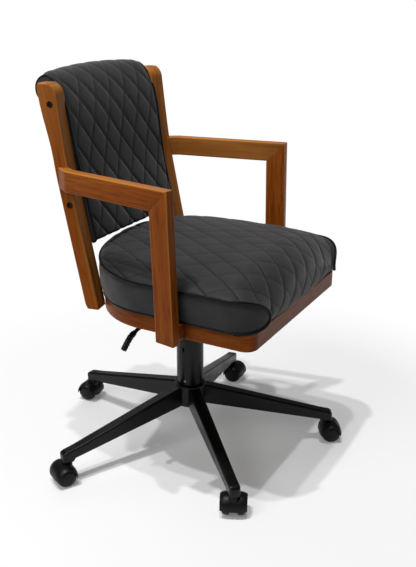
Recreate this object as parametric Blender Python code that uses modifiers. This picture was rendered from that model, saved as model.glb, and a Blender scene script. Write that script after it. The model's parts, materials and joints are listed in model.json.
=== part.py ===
"""Swivel armchair for a games table: wooden stiles and arms, quilted seat and back, gas lift, caster base.

Metres, +Z up. The sitter faces -Y, the floor is z = 0 and the swivel axis is the Z axis.
"""
import math

import bmesh
import bpy
from mathutils import Matrix, Vector

# Clearances
GAP = 0.0003
RUNNING_GAP = 0.0004

# Casters: two wheels on one axle, carried by a hooded housing on a swivelling stem
WHEEL_RADIUS = 0.0225
WHEEL_WIDTH = 0.0185
WEB_HALF = 0.008
WHEEL_GAP = 0.0005
HOOD_THICKNESS = 0.0018
HOOD_CLEARANCE = 0.0012
AXLE_RADIUS = 0.003
STEM_RADIUS = 0.005
BOSS_RADIUS = 0.0105
CASTER_TRAIL = 0.010
CASTER_HEIGHT = 0.0487

# Base: hub and legs
LEG_COUNT = 5
LEG_REACH = 0.317
LEG_START_DEG = -62.34
CASTER_HEADINGS_DEG = (-58.0, -88.0, 91.0, 151.0, 25.0)
HUB_RADIUS = 0.0365
HUB_BOTTOM = 0.097
HUB_TOP = 0.148
LEG_TIP_HEIGHT = 0.027
LEG_TIP_HALF = 0.0125
LEG_ROOT_WIDTH = 0.029
LEG_TIP_WIDTH = 0.023

# Column: stand tube, cover sleeve, gas cylinder on its piston rod
TUBE_RADIUS = 0.025
TUBE_WALL = 0.0025
TUBE_TOP = 0.289
SLEEVE_RADIUS = 0.0305
SLEEVE_WALL = 0.0015
SLEEVE_TOP = 0.299
CYLINDER_RADIUS = 0.014
CYLINDER_BOTTOM = 0.157
CYLINDER_TOP = 0.339
ROD_RADIUS = 0.005
PISTON_RADIUS = 0.011
BUSH_LENGTH = 0.044
VALVE_PIN_RADIUS = 0.003

# Seat frame
RAIL_BOTTOM = 0.364
RAIL_HEIGHT = 0.037
RAIL_THICKNESS = 0.022
SEAT_HALF_WIDTH = 0.217
SEAT_FRONT = -0.259
SEAT_CORNER = 0.026
SEAT_CURVE_Y = -0.010
SEAT_CURVE_DEPTH = 0.180
RAIL_JOINT_Y = -0.212
BOARD_THICKNESS = 0.012

# Mechanism under the seat
PLATE_SIZE = (0.150, 0.200)
PLATE_THICKNESS = 0.0035
HOUSING_SIZE = (0.084, 0.130)
HOUSING_BOTTOM = 0.303
HOUSING_WALL = 0.0025
BOLT_RADIUS = 0.003
BOLT_HEAD_RADIUS = 0.0065

# Height lever
LEVER_PIVOT_X = -0.030
LEVER_Z = 0.351
LEVER_RADIUS = 0.004
LEVER_GRIP_RADIUS = 0.0062

# Cushion on the seat
CUSHION_HALF_WIDTH = SEAT_HALF_WIDTH + 0.0125
CUSHION_FRONT = -0.2720
CUSHION_CORNER = 0.060
CUSHION_CURVE_Y = -0.017
CUSHION_CURVE_DEPTH = 0.1815
CUSHION_FULLNESS = 2.15
CUSHION_REAR_RISE = 0.0165
CUSHION_BAND = 0.064
CUSHION_CROWN = 0.0375
QUILT_WIDTH = 0.049
QUILT_LENGTH = 0.090
QUILT_RELIEF = 0.0030

# Arms
ARM_TOP = 0.6655
ARM_HEIGHT = 0.043
ARM_WIDTH = 0.021
ARM_FRONT = (-SEAT_HALF_WIDTH - 0.0490, -0.1080)
ARM_BEND = (-SEAT_HALF_WIDTH - 0.0035, 0.1525)
ARM_DOGLEG_DEG = 34.0
ARM_DOGLEG = 0.0375
POST_DEPTH = 0.045
POST_FOOT = 0.3626
POST_FOOT_SHIFT = (0.0052, -0.0067)

# Back stiles
STILE_X = -SEAT_HALF_WIDTH + 0.0225
STILE_TURN_DEG = 11.0
STILE_WIDTH = 0.0370
STILE_DEPTH = 0.029
STILE_TOP_DEPTH = 0.040
STILE_BOTTOM = 0.373
STILE_TOP = 0.827
KNEE_Z = 0.659
KNEE_Y = 0.1628
LEAN_LOW = 0.210
LEAN_HIGH = 0.115
KNEE_SOFTNESS = 0.040
BACK_BOLT_HEIGHTS = (0.590, STILE_TOP - 0.0404)
BACK_BOLT_HEAD_RADIUS = 0.0066
BACK_BOLT_SINK = 0.005

# Back panel
BACK_BOTTOM = 0.5070
BACK_TOP = STILE_TOP + 0.0220
BACK_ROLL_RADIUS = 0.0305
BACK_ARCH = 0.0075
BACK_SET = 0.0075
BACK_EDGE_PAD = 0.0075
BACK_EDGE_TAPER = 0.006
BACK_REAR_PAD = 0.002
BACK_CROWN_PAD = 0.017
BACK_TOP_PAD = 0.019
BACK_BOARD_THICKNESS = 0.018
BACK_COVER_PAD = 0.012
COVER_EDGE_PAD = 0.003

# Heights and offsets that follow from the sizes above
RAIL_TOP = RAIL_BOTTOM + RAIL_HEIGHT
BOARD_BOTTOM = RAIL_TOP - BOARD_THICKNESS
PLATE_TOP = BOARD_BOTTOM - GAP
PLATE_BOTTOM = PLATE_TOP - PLATE_THICKNESS
HOUSING_TOP = PLATE_BOTTOM - GAP
CUSHION_BOTTOM = RAIL_TOP + 0.0005
CUSHION_EDGE = CUSHION_BOTTOM + CUSHION_BAND
LEG_SOCKET_BOTTOM = CASTER_HEIGHT + GAP
ARM_SPLAY = math.atan2(ARM_BEND[0] - ARM_FRONT[0], ARM_BEND[1] - ARM_FRONT[1])
STILE_TURN = math.radians(STILE_TURN_DEG)
BACK_SAG = math.tan(STILE_TURN) * -STILE_X / 2
BACK_ROLL_Z = BACK_TOP - BACK_ROLL_RADIUS - BACK_TOP_PAD

for old in list(bpy.data.objects):
    bpy.data.objects.remove(old, do_unlink=True)

PARTS = bpy.data.collections.new("swivel_armchair")
bpy.context.scene.collection.children.link(PARTS)


# Small helpers
def look(name, colour, roughness, metallic=0.0):
    """Principled material from an sRGB colour written as 0-255 numbers."""
    material = bpy.data.materials.new(name)
    material.use_nodes = True
    shader = material.node_tree.nodes["Principled BSDF"]
    linear = [(c / 255 / 12.92 if c < 11 else ((c / 255 + 0.055) / 1.055) ** 2.4) for c in colour]
    shader.inputs["Base Color"].default_value = (*linear, 1.0)
    shader.inputs["Roughness"].default_value = roughness
    shader.inputs["Metallic"].default_value = metallic
    return material


def scratch(data):
    """Put data in a working object that the next step uses up."""
    obj = bpy.data.objects.new("scratch", data)
    PARTS.objects.link(obj)
    return obj


def frozen(obj):
    """Plain closed mesh of an object as its modifiers leave it; the object is removed."""
    graph = bpy.context.evaluated_depsgraph_get()
    mesh = bpy.data.meshes.new_from_object(obj.evaluated_get(graph))
    bpy.data.objects.remove(obj, do_unlink=True)
    form = bmesh.new()
    form.from_mesh(mesh)
    bmesh.ops.remove_doubles(form, verts=form.verts, dist=1e-6)
    bmesh.ops.recalc_face_normals(form, faces=form.faces)
    form.to_mesh(mesh)
    form.free()
    return mesh


def turned(profile, steps, closed=False):
    """Turn a profile of (radius, height) points about Z."""
    count = len(profile)
    edges = [(i, i + 1) for i in range(count - 1)]
    if closed:
        edges.append((count - 1, 0))
    mesh = bpy.data.meshes.new("profile")
    mesh.from_pydata([(r, 0.0, z) for r, z in profile], edges, [])
    obj = scratch(mesh)
    screw = obj.modifiers.new("turn", "SCREW")
    screw.steps = screw.render_steps = steps
    screw.use_merge_vertices = True
    screw.merge_threshold = 0.00001
    return frozen(obj)


def prism(outlines, low, high):
    """Extrude flat outlines (the later ones are holes) from height low to height high."""
    curve = bpy.data.curves.new("outline", "CURVE")
    curve.dimensions = "2D"
    curve.fill_mode = "BOTH"
    curve.extrude = (high - low) / 2
    for outline in outlines:
        spline = curve.splines.new("POLY")
        spline.points.add(len(outline) - 1)
        for point, (x, y) in zip(spline.points, outline):
            point.co = (x, y, 0.0, 1.0)
        spline.use_cyclic_u = True
    mesh = frozen(scratch(curve))
    mesh.transform(Matrix.Translation((0, 0, (low + high) / 2)))
    return mesh


def tube(path, radius):
    """Round bar along a path of points."""
    curve = bpy.data.curves.new("bar", "CURVE")
    curve.dimensions = "3D"
    curve.bevel_depth = radius
    curve.bevel_resolution = 2
    curve.use_fill_caps = True
    spline = curve.splines.new("POLY")
    spline.points.add(len(path) - 1)
    for point, place in zip(spline.points, path):
        point.co = (*place, 1.0)
    return frozen(scratch(curve))


def box(low, high):
    """Box between two corners."""
    form = bmesh.new()
    size = [b - a for a, b in zip(low, high)]
    middle = [(a + b) / 2 for a, b in zip(low, high)]
    bmesh.ops.create_cube(form, size=1.0, matrix=Matrix.Translation(middle) @ Matrix.Diagonal((*size, 1.0)))
    mesh = bpy.data.meshes.new("box")
    form.to_mesh(mesh)
    form.free()
    return mesh


def round_bar(radius, low, high, sides, matrix=None):
    """Cylinder about Z from height low to height high, then moved by the matrix."""
    form = bmesh.new()
    bmesh.ops.create_cone(
        form, cap_ends=True, segments=sides, radius1=radius, radius2=radius, depth=high - low,
        matrix=(matrix or Matrix()) @ Matrix.Translation((0, 0, (low + high) / 2)))
    mesh = bpy.data.meshes.new("bar")
    form.to_mesh(mesh)
    form.free()
    return mesh


def combined(mesh, other, operation="DIFFERENCE"):
    """Boolean of two closed meshes; the other mesh stays as it is."""
    obj = scratch(mesh)
    tool = scratch(other)
    modifier = obj.modifiers.new("combine", "BOOLEAN")
    modifier.operation = operation
    modifier.solver = "EXACT"
    modifier.object = tool
    result = frozen(obj)
    bpy.data.objects.remove(tool, do_unlink=True)
    return result


def softened(mesh, width, segments=1, angle=40.0):
    """Round every edge that is sharper than the angle."""
    obj = scratch(mesh)
    bevel = obj.modifiers.new("soft", "BEVEL")
    bevel.width = width
    bevel.segments = segments
    bevel.limit_method = "ANGLE"
    bevel.angle_limit = math.radians(angle)
    return frozen(obj)


def sliced(mesh, point, normal):
    """Keep what lies behind the plane and close the cut."""
    form = bmesh.new()
    form.from_mesh(mesh)
    geometry = form.verts[:] + form.edges[:] + form.faces[:]
    cut = bmesh.ops.bisect_plane(form, geom=geometry, plane_co=point, plane_no=normal, clear_outer=True)
    rim = [e for e in cut["geom_cut"] if isinstance(e, bmesh.types.BMEdge)]
    bmesh.ops.edgenet_fill(form, edges=rim)
    bmesh.ops.recalc_face_normals(form, faces=form.faces)
    form.to_mesh(mesh)
    form.free()
    return mesh


def mapped(mesh, rule):
    """Move each vertex to where the rule puts it."""
    for vertex in mesh.vertices:
        vertex.co = rule(*vertex.co)
    mesh.update()
    return mesh


def mirrored(mesh):
    """Copy for the other side of the chair."""
    copy = mesh.copy()
    copy.transform(Matrix.Scale(-1, 4, (1, 0, 0)))
    copy.flip_normals()
    return copy


def slab(columns, rows, lower, upper, quilted=None):
    """Closed pad between two surfaces of (u, v) in 0-1; quilted(i, j) marks the stitched crossings."""
    form = bmesh.new()
    bmesh.ops.create_grid(form, x_segments=columns, y_segments=rows, size=0.5)
    raised = bmesh.ops.extrude_face_region(form, geom=form.faces[:])["geom"]
    top = [v for v in raised if isinstance(v, bmesh.types.BMVert)]
    top_faces = [f for f in raised if isinstance(f, bmesh.types.BMFace)]
    bottom = set(form.verts) - set(top)
    if quilted:
        for face in top_faces:
            low = [v for v in face.verts
                   if quilted(round((v.co.x + 0.5) * columns), round((v.co.y + 0.5) * rows))]
            if len(low) == 2:
                bmesh.utils.face_split(face, low[0], low[1])
    for vertex in top:
        vertex.co = upper(vertex.co.x + 0.5, vertex.co.y + 0.5)
    for vertex in bottom:
        vertex.co = lower(vertex.co.x + 0.5, vertex.co.y + 0.5)
    bmesh.ops.recalc_face_normals(form, faces=form.faces)
    mesh = bpy.data.meshes.new("slab")
    form.to_mesh(mesh)
    form.free()
    return mesh


def add(name, mesh, material, location=(0, 0, 0), rotation=(0, 0, 0), parent=None, smooth=True):
    """Make a named sub-part of the chair."""
    mesh.name = name
    mesh.materials.clear()
    mesh.materials.append(material)
    if smooth:
        mesh.shade_smooth()
        mesh.set_sharp_from_angle(angle=math.radians(35))
    obj = bpy.data.objects.new(name, mesh)
    obj.location = location
    obj.rotation_euler = rotation
    obj.parent = parent
    PARTS.objects.link(obj)
    return obj


# Materials
WOOD = look("stained wood", (132, 74, 32), 0.42)
PLYWOOD = look("plywood", (176, 140, 96), 0.7)
LEATHER = look("black quilted leather", (46, 46, 47), 0.45)
BASE_PAINT = look("black powder coat", (34, 34, 35), 0.5, 0.2)
MECHANISM = look("black pressed steel", (24, 24, 25), 0.45, 0.4)
STEEL = look("bright steel", (176, 178, 180), 0.28, 1.0)
PLASTIC = look("black nylon", (30, 30, 31), 0.42)
BOLT_BLACK = look("blackened bolt", (22, 20, 19), 0.4, 0.6)

# Caster pieces, in a frame whose Z axis is the stem and whose +X axis is the trailing side
TURN_UP = Matrix.Rotation(math.radians(90), 4, "X")
AXLE = Vector((CASTER_TRAIL, 0.0, WHEEL_RADIUS))
HOOD_INNER = WHEEL_RADIUS + HOOD_CLEARANCE
HOOD_OUTER = HOOD_INNER + HOOD_THICKNESS
WHEEL_INNER_Y = WEB_HALF + WHEEL_GAP
HOOD_HALF = WHEEL_INNER_Y + WHEEL_WIDTH + 0.001
STEM_BOTTOM = 0.030
STEM_TOP = LEG_SOCKET_BOTTOM + LEG_TIP_HEIGHT - 0.0055


def sector(radius, start_deg, end_deg, count):
    """Pie slice about the origin."""
    angles = [math.radians(start_deg + (end_deg - start_deg) * i / count) for i in range(count + 1)]
    return [(0.0, 0.0)] + [(radius * math.cos(a), radius * math.sin(a)) for a in angles]


def caster_housing():
    """Hood over both wheels, web between them, stem boss on top and axle through the web."""
    at_axle = Matrix.Translation(AXLE)
    drawn_in = [(HOOD_HALF, 0.0048), (HOOD_HALF - 0.006, 0.0013), (HOOD_HALF - 0.012, 0.0)]
    arch = [(-y, d) for y, d in drawn_in] + [(y, d) for y, d in reversed(drawn_in)]
    barrel = turned([(HOOD_OUTER - d, y) for y, d in arch] + [(0.0, HOOD_HALF), (0.0, -HOOD_HALF)], 24, True)
    hood = combined(barrel, prism([sector(0.1, -4.0, 190.0, 2)], -0.1, 0.1), "INTERSECT")
    hood.transform(at_axle @ TURN_UP)
    boss = round_bar(BOSS_RADIUS, 0.034, CASTER_HEIGHT, 14)
    hood = combined(hood, boss, "UNION")
    wheel_space = turned([(HOOD_INNER - 0.0062, -0.05)] + [(HOOD_INNER - d, y) for y, d in arch]
                         + [(HOOD_INNER - 0.0062, 0.05), (0.0, 0.05), (0.0, -0.05)], 24, True)
    wheel_space.transform(at_axle @ TURN_UP)
    hood = combined(hood, wheel_space)
    web = prism([sector(HOOD_OUTER - 0.0004, -1.0, 187.0, 12)], -WEB_HALF, WEB_HALF)
    web.transform(at_axle @ TURN_UP)
    hood = combined(hood, web, "UNION")
    axle_boss = round_bar(0.0085, -WEB_HALF, WEB_HALF, 14, at_axle @ TURN_UP)
    hood = combined(hood, axle_boss, "UNION")
    axle_end = WHEEL_INNER_Y + WHEEL_WIDTH - 0.004
    axle = round_bar(AXLE_RADIUS, -axle_end, axle_end, 12, at_axle @ TURN_UP)
    hood = combined(hood, axle, "UNION")
    bore = round_bar(STEM_RADIUS + GAP, STEM_BOTTOM - GAP, CASTER_HEIGHT + 0.01, 12)
    return combined(hood, bore)


def caster_wheel():
    """Wheel about Z, its inner face at z = 0, with a domed outer face and a blind axle bore."""
    bore = AXLE_RADIUS + RUNNING_GAP
    rim = WHEEL_RADIUS
    return turned([
        (0.0, WHEEL_WIDTH), (rim * 0.40, WHEEL_WIDTH - 0.0006), (rim * 0.68, WHEEL_WIDTH - 0.0024),
        (rim * 0.88, WHEEL_WIDTH - 0.0055), (rim * 0.975, WHEEL_WIDTH - 0.0090), (rim, WHEEL_WIDTH - 0.0120),
        (rim, 0.0018), (rim * 0.94, 0.0), (bore, 0.0),
        (bore, WHEEL_WIDTH - 0.003), (0.0, WHEEL_WIDTH - 0.003)], 16)


housing_mesh = caster_housing()
wheel_mesh = caster_wheel()
stem_mesh = turned([(0.0, STEM_TOP), (STEM_RADIUS - 0.001, STEM_TOP), (STEM_RADIUS, STEM_TOP - 0.001),
                    (STEM_RADIUS, STEM_BOTTOM), (0.0, STEM_BOTTOM)], 12)


# Leg: side outline tapered in width, socket for the caster stem, end shaped to the hub
def leg():
    tip_top = LEG_SOCKET_BOTTOM + LEG_TIP_HEIGHT
    outer = LEG_REACH + LEG_TIP_HALF
    inner = LEG_REACH - LEG_TIP_HALF
    root = HUB_RADIUS - 0.008
    outline = [
        (root, HUB_TOP - 0.002), (LEG_REACH - 0.020, tip_top + 0.0045), (outer - 0.008, tip_top),
        (outer, tip_top - 0.008), (outer, LEG_SOCKET_BOTTOM), (inner, LEG_SOCKET_BOTTOM),
        (inner, LEG_SOCKET_BOTTOM + 0.006), (root, HUB_BOTTOM + 0.001)]
    taper = (LEG_TIP_WIDTH - LEG_ROOT_WIDTH) / (outer - root)
    bar = mapped(prism([outline], -0.5, 0.5),
                 lambda r, z, side: (r, -side * (LEG_ROOT_WIDTH + taper * (r - root)), z))
    bar = softened(bar, 0.003, 2, 30)
    socket = round_bar(STEM_RADIUS + RUNNING_GAP, LEG_SOCKET_BOTTOM - 0.01, STEM_TOP + 0.0015, 12,
                       Matrix.Translation((LEG_REACH, 0, 0)))
    bar = combined(bar, socket)
    return combined(bar, round_bar(HUB_RADIUS + GAP, 0.0, 0.4, 40))


leg_mesh = leg()
add("base_hub", turned([
    (HUB_RADIUS - 0.0015, HUB_TOP), (HUB_RADIUS, HUB_TOP - 0.0015), (HUB_RADIUS, HUB_BOTTOM + 0.003),
    (HUB_RADIUS - 0.003, HUB_BOTTOM), (TUBE_RADIUS + GAP, HUB_BOTTOM),
    (TUBE_RADIUS + GAP, HUB_TOP)], 32, True),
    BASE_PAINT)
for number in range(LEG_COUNT):
    heading = math.radians(LEG_START_DEG + 360.0 * number / LEG_COUNT)
    add(f"base_leg_{number + 1}", leg_mesh, BASE_PAINT, rotation=(0, 0, heading))
    swivel = bpy.data.objects.new(f"caster_swivel_{number + 1}", None)
    swivel.location = (LEG_REACH * math.cos(heading), LEG_REACH * math.sin(heading), 0.0)
    swivel.rotation_euler = (0, 0, math.radians(CASTER_HEADINGS_DEG[number]))
    PARTS.objects.link(swivel)
    add(f"caster_housing_{number + 1}", housing_mesh, PLASTIC, parent=swivel)
    add(f"caster_stem_{number + 1}", stem_mesh, STEEL, parent=swivel)
    for side, tilt in (("a", 90), ("b", -90)):
        offset = -WHEEL_INNER_Y if tilt > 0 else WHEEL_INNER_Y
        add(f"caster_wheel_{number + 1}{side}", wheel_mesh, PLASTIC, parent=swivel,
            location=(CASTER_TRAIL, offset, WHEEL_RADIUS), rotation=(math.radians(tilt), 0, 0))

# Column: the stand tube sits in the hub and carries the guide bush; the sleeve hides both
FLOOR_OF_TUBE = HUB_BOTTOM - 0.002
TUBE_BORE = TUBE_RADIUS - TUBE_WALL
add("column_tube", turned([
    (TUBE_RADIUS, TUBE_TOP), (TUBE_RADIUS, FLOOR_OF_TUBE), (ROD_RADIUS + RUNNING_GAP, FLOOR_OF_TUBE),
    (ROD_RADIUS + RUNNING_GAP, FLOOR_OF_TUBE + 0.008), (0.0115, FLOOR_OF_TUBE + 0.008),
    (0.0115, FLOOR_OF_TUBE + 0.004), (TUBE_BORE, FLOOR_OF_TUBE + 0.004), (TUBE_BORE, TUBE_TOP)], 20, True),
    MECHANISM)
BUSH_TOP = TUBE_TOP + 0.0035
BUSH_BORE = CYLINDER_RADIUS + GAP
add("guide_bush", turned([
    (TUBE_RADIUS - 0.0005, BUSH_TOP), (TUBE_RADIUS - 0.0005, TUBE_TOP + GAP),
    (TUBE_BORE - GAP, TUBE_TOP + GAP), (TUBE_BORE - GAP, TUBE_TOP - BUSH_LENGTH),
    (BUSH_BORE, TUBE_TOP - BUSH_LENGTH), (BUSH_BORE, BUSH_TOP)], 24, True),
    PLASTIC)
sleeve = turned([
    (SLEEVE_RADIUS - 0.001, SLEEVE_TOP), (SLEEVE_RADIUS, SLEEVE_TOP - 0.001), (SLEEVE_RADIUS, HUB_TOP + GAP),
    (SLEEVE_RADIUS - SLEEVE_WALL, HUB_TOP + GAP), (SLEEVE_RADIUS - SLEEVE_WALL, SLEEVE_TOP - SLEEVE_WALL),
    (CYLINDER_RADIUS + 0.003, SLEEVE_TOP - SLEEVE_WALL), (CYLINDER_RADIUS + 0.003, SLEEVE_TOP)], 32, True)
slot = box((-SLEEVE_RADIUS - 0.01, -0.0022, SLEEVE_TOP - 0.067),
           (-SLEEVE_RADIUS + 0.006, 0.0022, SLEEVE_TOP - 0.055))
add("column_sleeve", combined(sleeve, slot), BASE_PAINT)
COLLAR = FLOOR_OF_TUBE + 0.008 + GAP
add("piston_rod", turned([
    (0.0, CYLINDER_TOP - 0.030), (PISTON_RADIUS, CYLINDER_TOP - 0.030), (PISTON_RADIUS, CYLINDER_TOP - 0.042),
    (ROD_RADIUS, CYLINDER_TOP - 0.042), (ROD_RADIUS, COLLAR + 0.004), (0.0095, COLLAR + 0.004),
    (0.0095, COLLAR),
    (ROD_RADIUS, COLLAR), (ROD_RADIUS, FLOOR_OF_TUBE - 0.002), (0.0, FLOOR_OF_TUBE - 0.002)], 16), STEEL)
PIN_HOLE = VALVE_PIN_RADIUS + GAP
add("gas_cylinder", turned([
    (0.0, CYLINDER_TOP - 0.018), (PIN_HOLE, CYLINDER_TOP - 0.018), (PIN_HOLE, CYLINDER_TOP),
    (CYLINDER_RADIUS - 0.001, CYLINDER_TOP), (CYLINDER_RADIUS, CYLINDER_TOP - 0.001),
    (CYLINDER_RADIUS, CYLINDER_BOTTOM), (ROD_RADIUS + RUNNING_GAP, CYLINDER_BOTTOM),
    (ROD_RADIUS + RUNNING_GAP, CYLINDER_BOTTOM + 0.008),
    (CYLINDER_RADIUS - 0.0025, CYLINDER_BOTTOM + 0.008), (CYLINDER_RADIUS - 0.0025, CYLINDER_TOP - 0.024),
    (0.0, CYLINDER_TOP - 0.024)], 20), STEEL)
PIN_TOP = LEVER_Z - LEVER_RADIUS - GAP
add("release_pin", turned([
    (0.0, PIN_TOP), (VALVE_PIN_RADIUS * 0.5, PIN_TOP), (VALVE_PIN_RADIUS, PIN_TOP - 0.0015),
    (VALVE_PIN_RADIUS, CYLINDER_TOP - 0.013), (0.0, CYLINDER_TOP - 0.013)], 12), STEEL)


# Mechanism: open-topped pressed pan with a socket for the cylinder, closed by the seat plate
def pan():
    half_x, half_y = HOUSING_SIZE[0] / 2, HOUSING_SIZE[1] / 2
    outer = softened(box((-half_x, -half_y, HOUSING_BOTTOM), (half_x, half_y, HOUSING_TOP)), 0.004, 2)
    inner = box((HOUSING_WALL - half_x, HOUSING_WALL - half_y, HOUSING_BOTTOM + HOUSING_WALL),
                (half_x - HOUSING_WALL, half_y - HOUSING_WALL, HOUSING_TOP + 0.05))
    shell = combined(outer, inner)
    socket = round_bar(CYLINDER_RADIUS + 0.005, HOUSING_BOTTOM + 0.001, CYLINDER_TOP - 0.006, 24)
    shell = combined(shell, socket, "UNION")
    shell = combined(shell, round_bar(CYLINDER_RADIUS + GAP, HOUSING_BOTTOM - 0.02, CYLINDER_TOP + 0.02, 24))
    slot_half = LEVER_RADIUS + 0.003
    slot = box((-half_x - 0.01, -slot_half, LEVER_Z - slot_half),
               (-half_x + 0.01, slot_half, LEVER_Z + slot_half))
    return combined(shell, slot)


add("swivel_housing", pan(), MECHANISM)
pin_half = HOUSING_SIZE[1] / 2 - HOUSING_WALL - GAP
along_y = Matrix.Translation((LEVER_PIVOT_X, 0, LEVER_Z)) @ TURN_UP
add("lever_pin", round_bar(0.003, -pin_half, pin_half, 12, along_y), STEEL)


def rounded_rectangle(width, length, radius, count=4):
    """Outline of a flat plate with round corners."""
    points = []
    for sx, sy, start in ((1, 1, 0), (-1, 1, 90), (-1, -1, 180), (1, -1, 270)):
        for i in range(count + 1):
            angle = math.radians(start + 90.0 * i / count)
            points.append((sx * (width / 2 - radius) + radius * math.cos(angle),
                           sy * (length / 2 - radius) + radius * math.sin(angle)))
    return points


BOLT_X = PLATE_SIZE[0] / 2 - 0.018
BOLT_Y = PLATE_SIZE[1] / 2 - 0.018
BOLT_TIP = BOARD_BOTTOM + BOARD_THICKNESS * 0.7
bolt_places = [Vector((x, y, 0)) for x in (-BOLT_X, BOLT_X) for y in (-BOLT_Y, BOLT_Y)]
bolt_mesh = turned([
    (0.0, BOLT_TIP), (BOLT_RADIUS, BOLT_TIP), (BOLT_RADIUS, PLATE_BOTTOM - GAP),
    (BOLT_HEAD_RADIUS, PLATE_BOTTOM - GAP), (BOLT_HEAD_RADIUS, PLATE_BOTTOM - 0.005),
    (0.0, PLATE_BOTTOM - 0.005)], 12)
plate = prism([rounded_rectangle(*PLATE_SIZE, 0.012)], PLATE_BOTTOM, PLATE_TOP)


def seat_outline(inset, half, front, corner, curve_y, curve_depth, fullness=2.0, sweep=22):
    """Outline of the seat: straight sides, rounded front corners, half an ellipse or fuller at the back."""
    arc = 5
    half, front, depth = half - inset, front + inset, curve_depth - inset
    corner = max(corner - inset, 0.002)
    points = []
    for i in range(sweep + 1):
        angle = math.pi * i / sweep
        c, s = math.cos(angle), max(math.sin(angle), 0.0)
        x = math.copysign(half * abs(c) ** (2 / fullness), c)
        points.append((x, curve_y + depth * s ** (2 / fullness)))
    for side, start in ((-1, 180), (1, 270)):
        for i in range(arc + 1):
            angle = math.radians(start + 90.0 * i / arc)
            points.append((side * (half - corner) + corner * math.cos(angle),
                           front + corner + corner * math.sin(angle)))
    return points


def rail_outline(inset):
    return seat_outline(inset, SEAT_HALF_WIDTH, SEAT_FRONT, SEAT_CORNER, SEAT_CURVE_Y, SEAT_CURVE_DEPTH)


board = prism([rail_outline(RAIL_THICKNESS + GAP)], BOARD_BOTTOM, RAIL_TOP)
for place in bolt_places:
    hole = round_bar(BOLT_RADIUS + GAP, PLATE_BOTTOM - 0.01, BOLT_TIP + GAP, 12, Matrix.Translation(place))
    plate = combined(plate, hole)
    board = combined(board, hole)
add("seat_plate", plate, MECHANISM)
for number, place in enumerate(bolt_places):
    add(f"plate_bolt_{number + 1}", bolt_mesh, STEEL, location=place)
add("seat_board", board, PLYWOOD)

ring = softened(prism([rail_outline(0.0), rail_outline(RAIL_THICKNESS)], RAIL_BOTTOM, RAIL_TOP), 0.002, 1, 60)
behind = box((-1, RAIL_JOINT_Y, 0), (1, 1, 1))
ahead = box((-1, -1, 0), (1, RAIL_JOINT_Y + GAP, 1))
add("seat_rail_front", combined(ring.copy(), behind), WOOD)
add("seat_rail_back", combined(ring, ahead), WOOD)


# Lever: bent rod from above the valve pin, through the pan wall, to a grip under the near side of the seat
LEVER_PATH = [
    (0.0035, 0.0, LEVER_Z), (LEVER_PIVOT_X, 0.0, LEVER_Z), (-0.055, 0.0, LEVER_Z),
    (-0.075, 0.003, LEVER_Z - 0.001), (-0.110, 0.015, LEVER_Z - 0.0055),
    (-0.140, 0.0245, LEVER_Z - 0.0105), (-0.165, 0.0300, LEVER_Z - 0.0170)]
GRIP_BEND = Vector((-0.1860, 0.0335, LEVER_Z - 0.0255))
GRIP_TIP = Vector((-0.2080, 0.0375, LEVER_Z - 0.0490))
pivot = Vector((LEVER_PIVOT_X, 0.0, LEVER_Z))
rod_end = GRIP_BEND.lerp(GRIP_TIP, 0.55)
rod_path = [Vector(p) for p in LEVER_PATH] + [GRIP_BEND, rod_end]
rod = combined(tube(rod_path, LEVER_RADIUS), round_bar(0.0068, -0.007, 0.007, 16, along_y), "UNION")
rod = combined(rod, round_bar(0.003 + RUNNING_GAP, -0.03, 0.03, 12, along_y))
rod.transform(Matrix.Translation(-pivot))
add("lever_rod", rod, MECHANISM, location=pivot)
grip_start = Vector(LEVER_PATH[-1]).lerp(GRIP_BEND, 0.35)
grip = softened(tube([grip_start, GRIP_BEND, GRIP_TIP], LEVER_GRIP_RADIUS), 0.0015, 1, 50)
hollow_end = rod_end + (GRIP_TIP - rod_end) * 0.05
hollow = tube([Vector(LEVER_PATH[-2]), Vector(LEVER_PATH[-1]), GRIP_BEND, hollow_end], LEVER_RADIUS + GAP)
grip = combined(grip, hollow)
grip.transform(Matrix.Translation(-pivot))
add("lever_grip", grip, PLASTIC, location=pivot)


# Seat cushion: the meeting of a bulging D-shaped body, a side profile with a round nose and a crowned top
def rear_share(y):
    """How far back a place is: 0 up to the start of the rear curve, 1 at its end."""
    return min(max((y - CUSHION_CURVE_Y) / CUSHION_CURVE_DEPTH, 0.0), 1.0)


def cushion_ring(form, level, inset):
    """Outline of the cushion at a share of the band's height, which grows a little to the rear."""
    outline = seat_outline(inset, CUSHION_HALF_WIDTH, CUSHION_FRONT, CUSHION_CORNER, CUSHION_CURVE_Y,
                           CUSHION_CURVE_DEPTH, CUSHION_FULLNESS, 26)
    height = CUSHION_BOTTOM + CUSHION_BAND * level
    rise = CUSHION_REAR_RISE * max(level, 0.0)
    verts = [form.verts.new((x, y, height + rise * rear_share(y) ** 2)) for x, y in outline]
    return [form.edges.new((verts[i - 1], verts[i])) for i in range(len(verts))]


def cushion_body():
    """Side band that bulges between its two seams and draws in at them."""
    form = bmesh.new()
    band = [(-0.15, 0.009), (0.0, 0.0065), (0.22, 0.0018), (0.5, 0.0), (0.78, 0.0004), (0.97, 0.0016),
            (1.25, 0.0140), (1.6, 0.030), (2.0, 0.050)]
    rings = [cushion_ring(form, level, inset) for level, inset in band]
    for low, high in zip(rings, rings[1:]):
        bmesh.ops.bridge_loops(form, edges=low + high)
    bmesh.ops.edgenet_fill(form, edges=rings[0])
    bmesh.ops.edgenet_fill(form, edges=rings[-1])
    bmesh.ops.recalc_face_normals(form, faces=form.faces)
    mesh = bpy.data.meshes.new("band")
    form.to_mesh(mesh)
    form.free()
    return mesh


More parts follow.
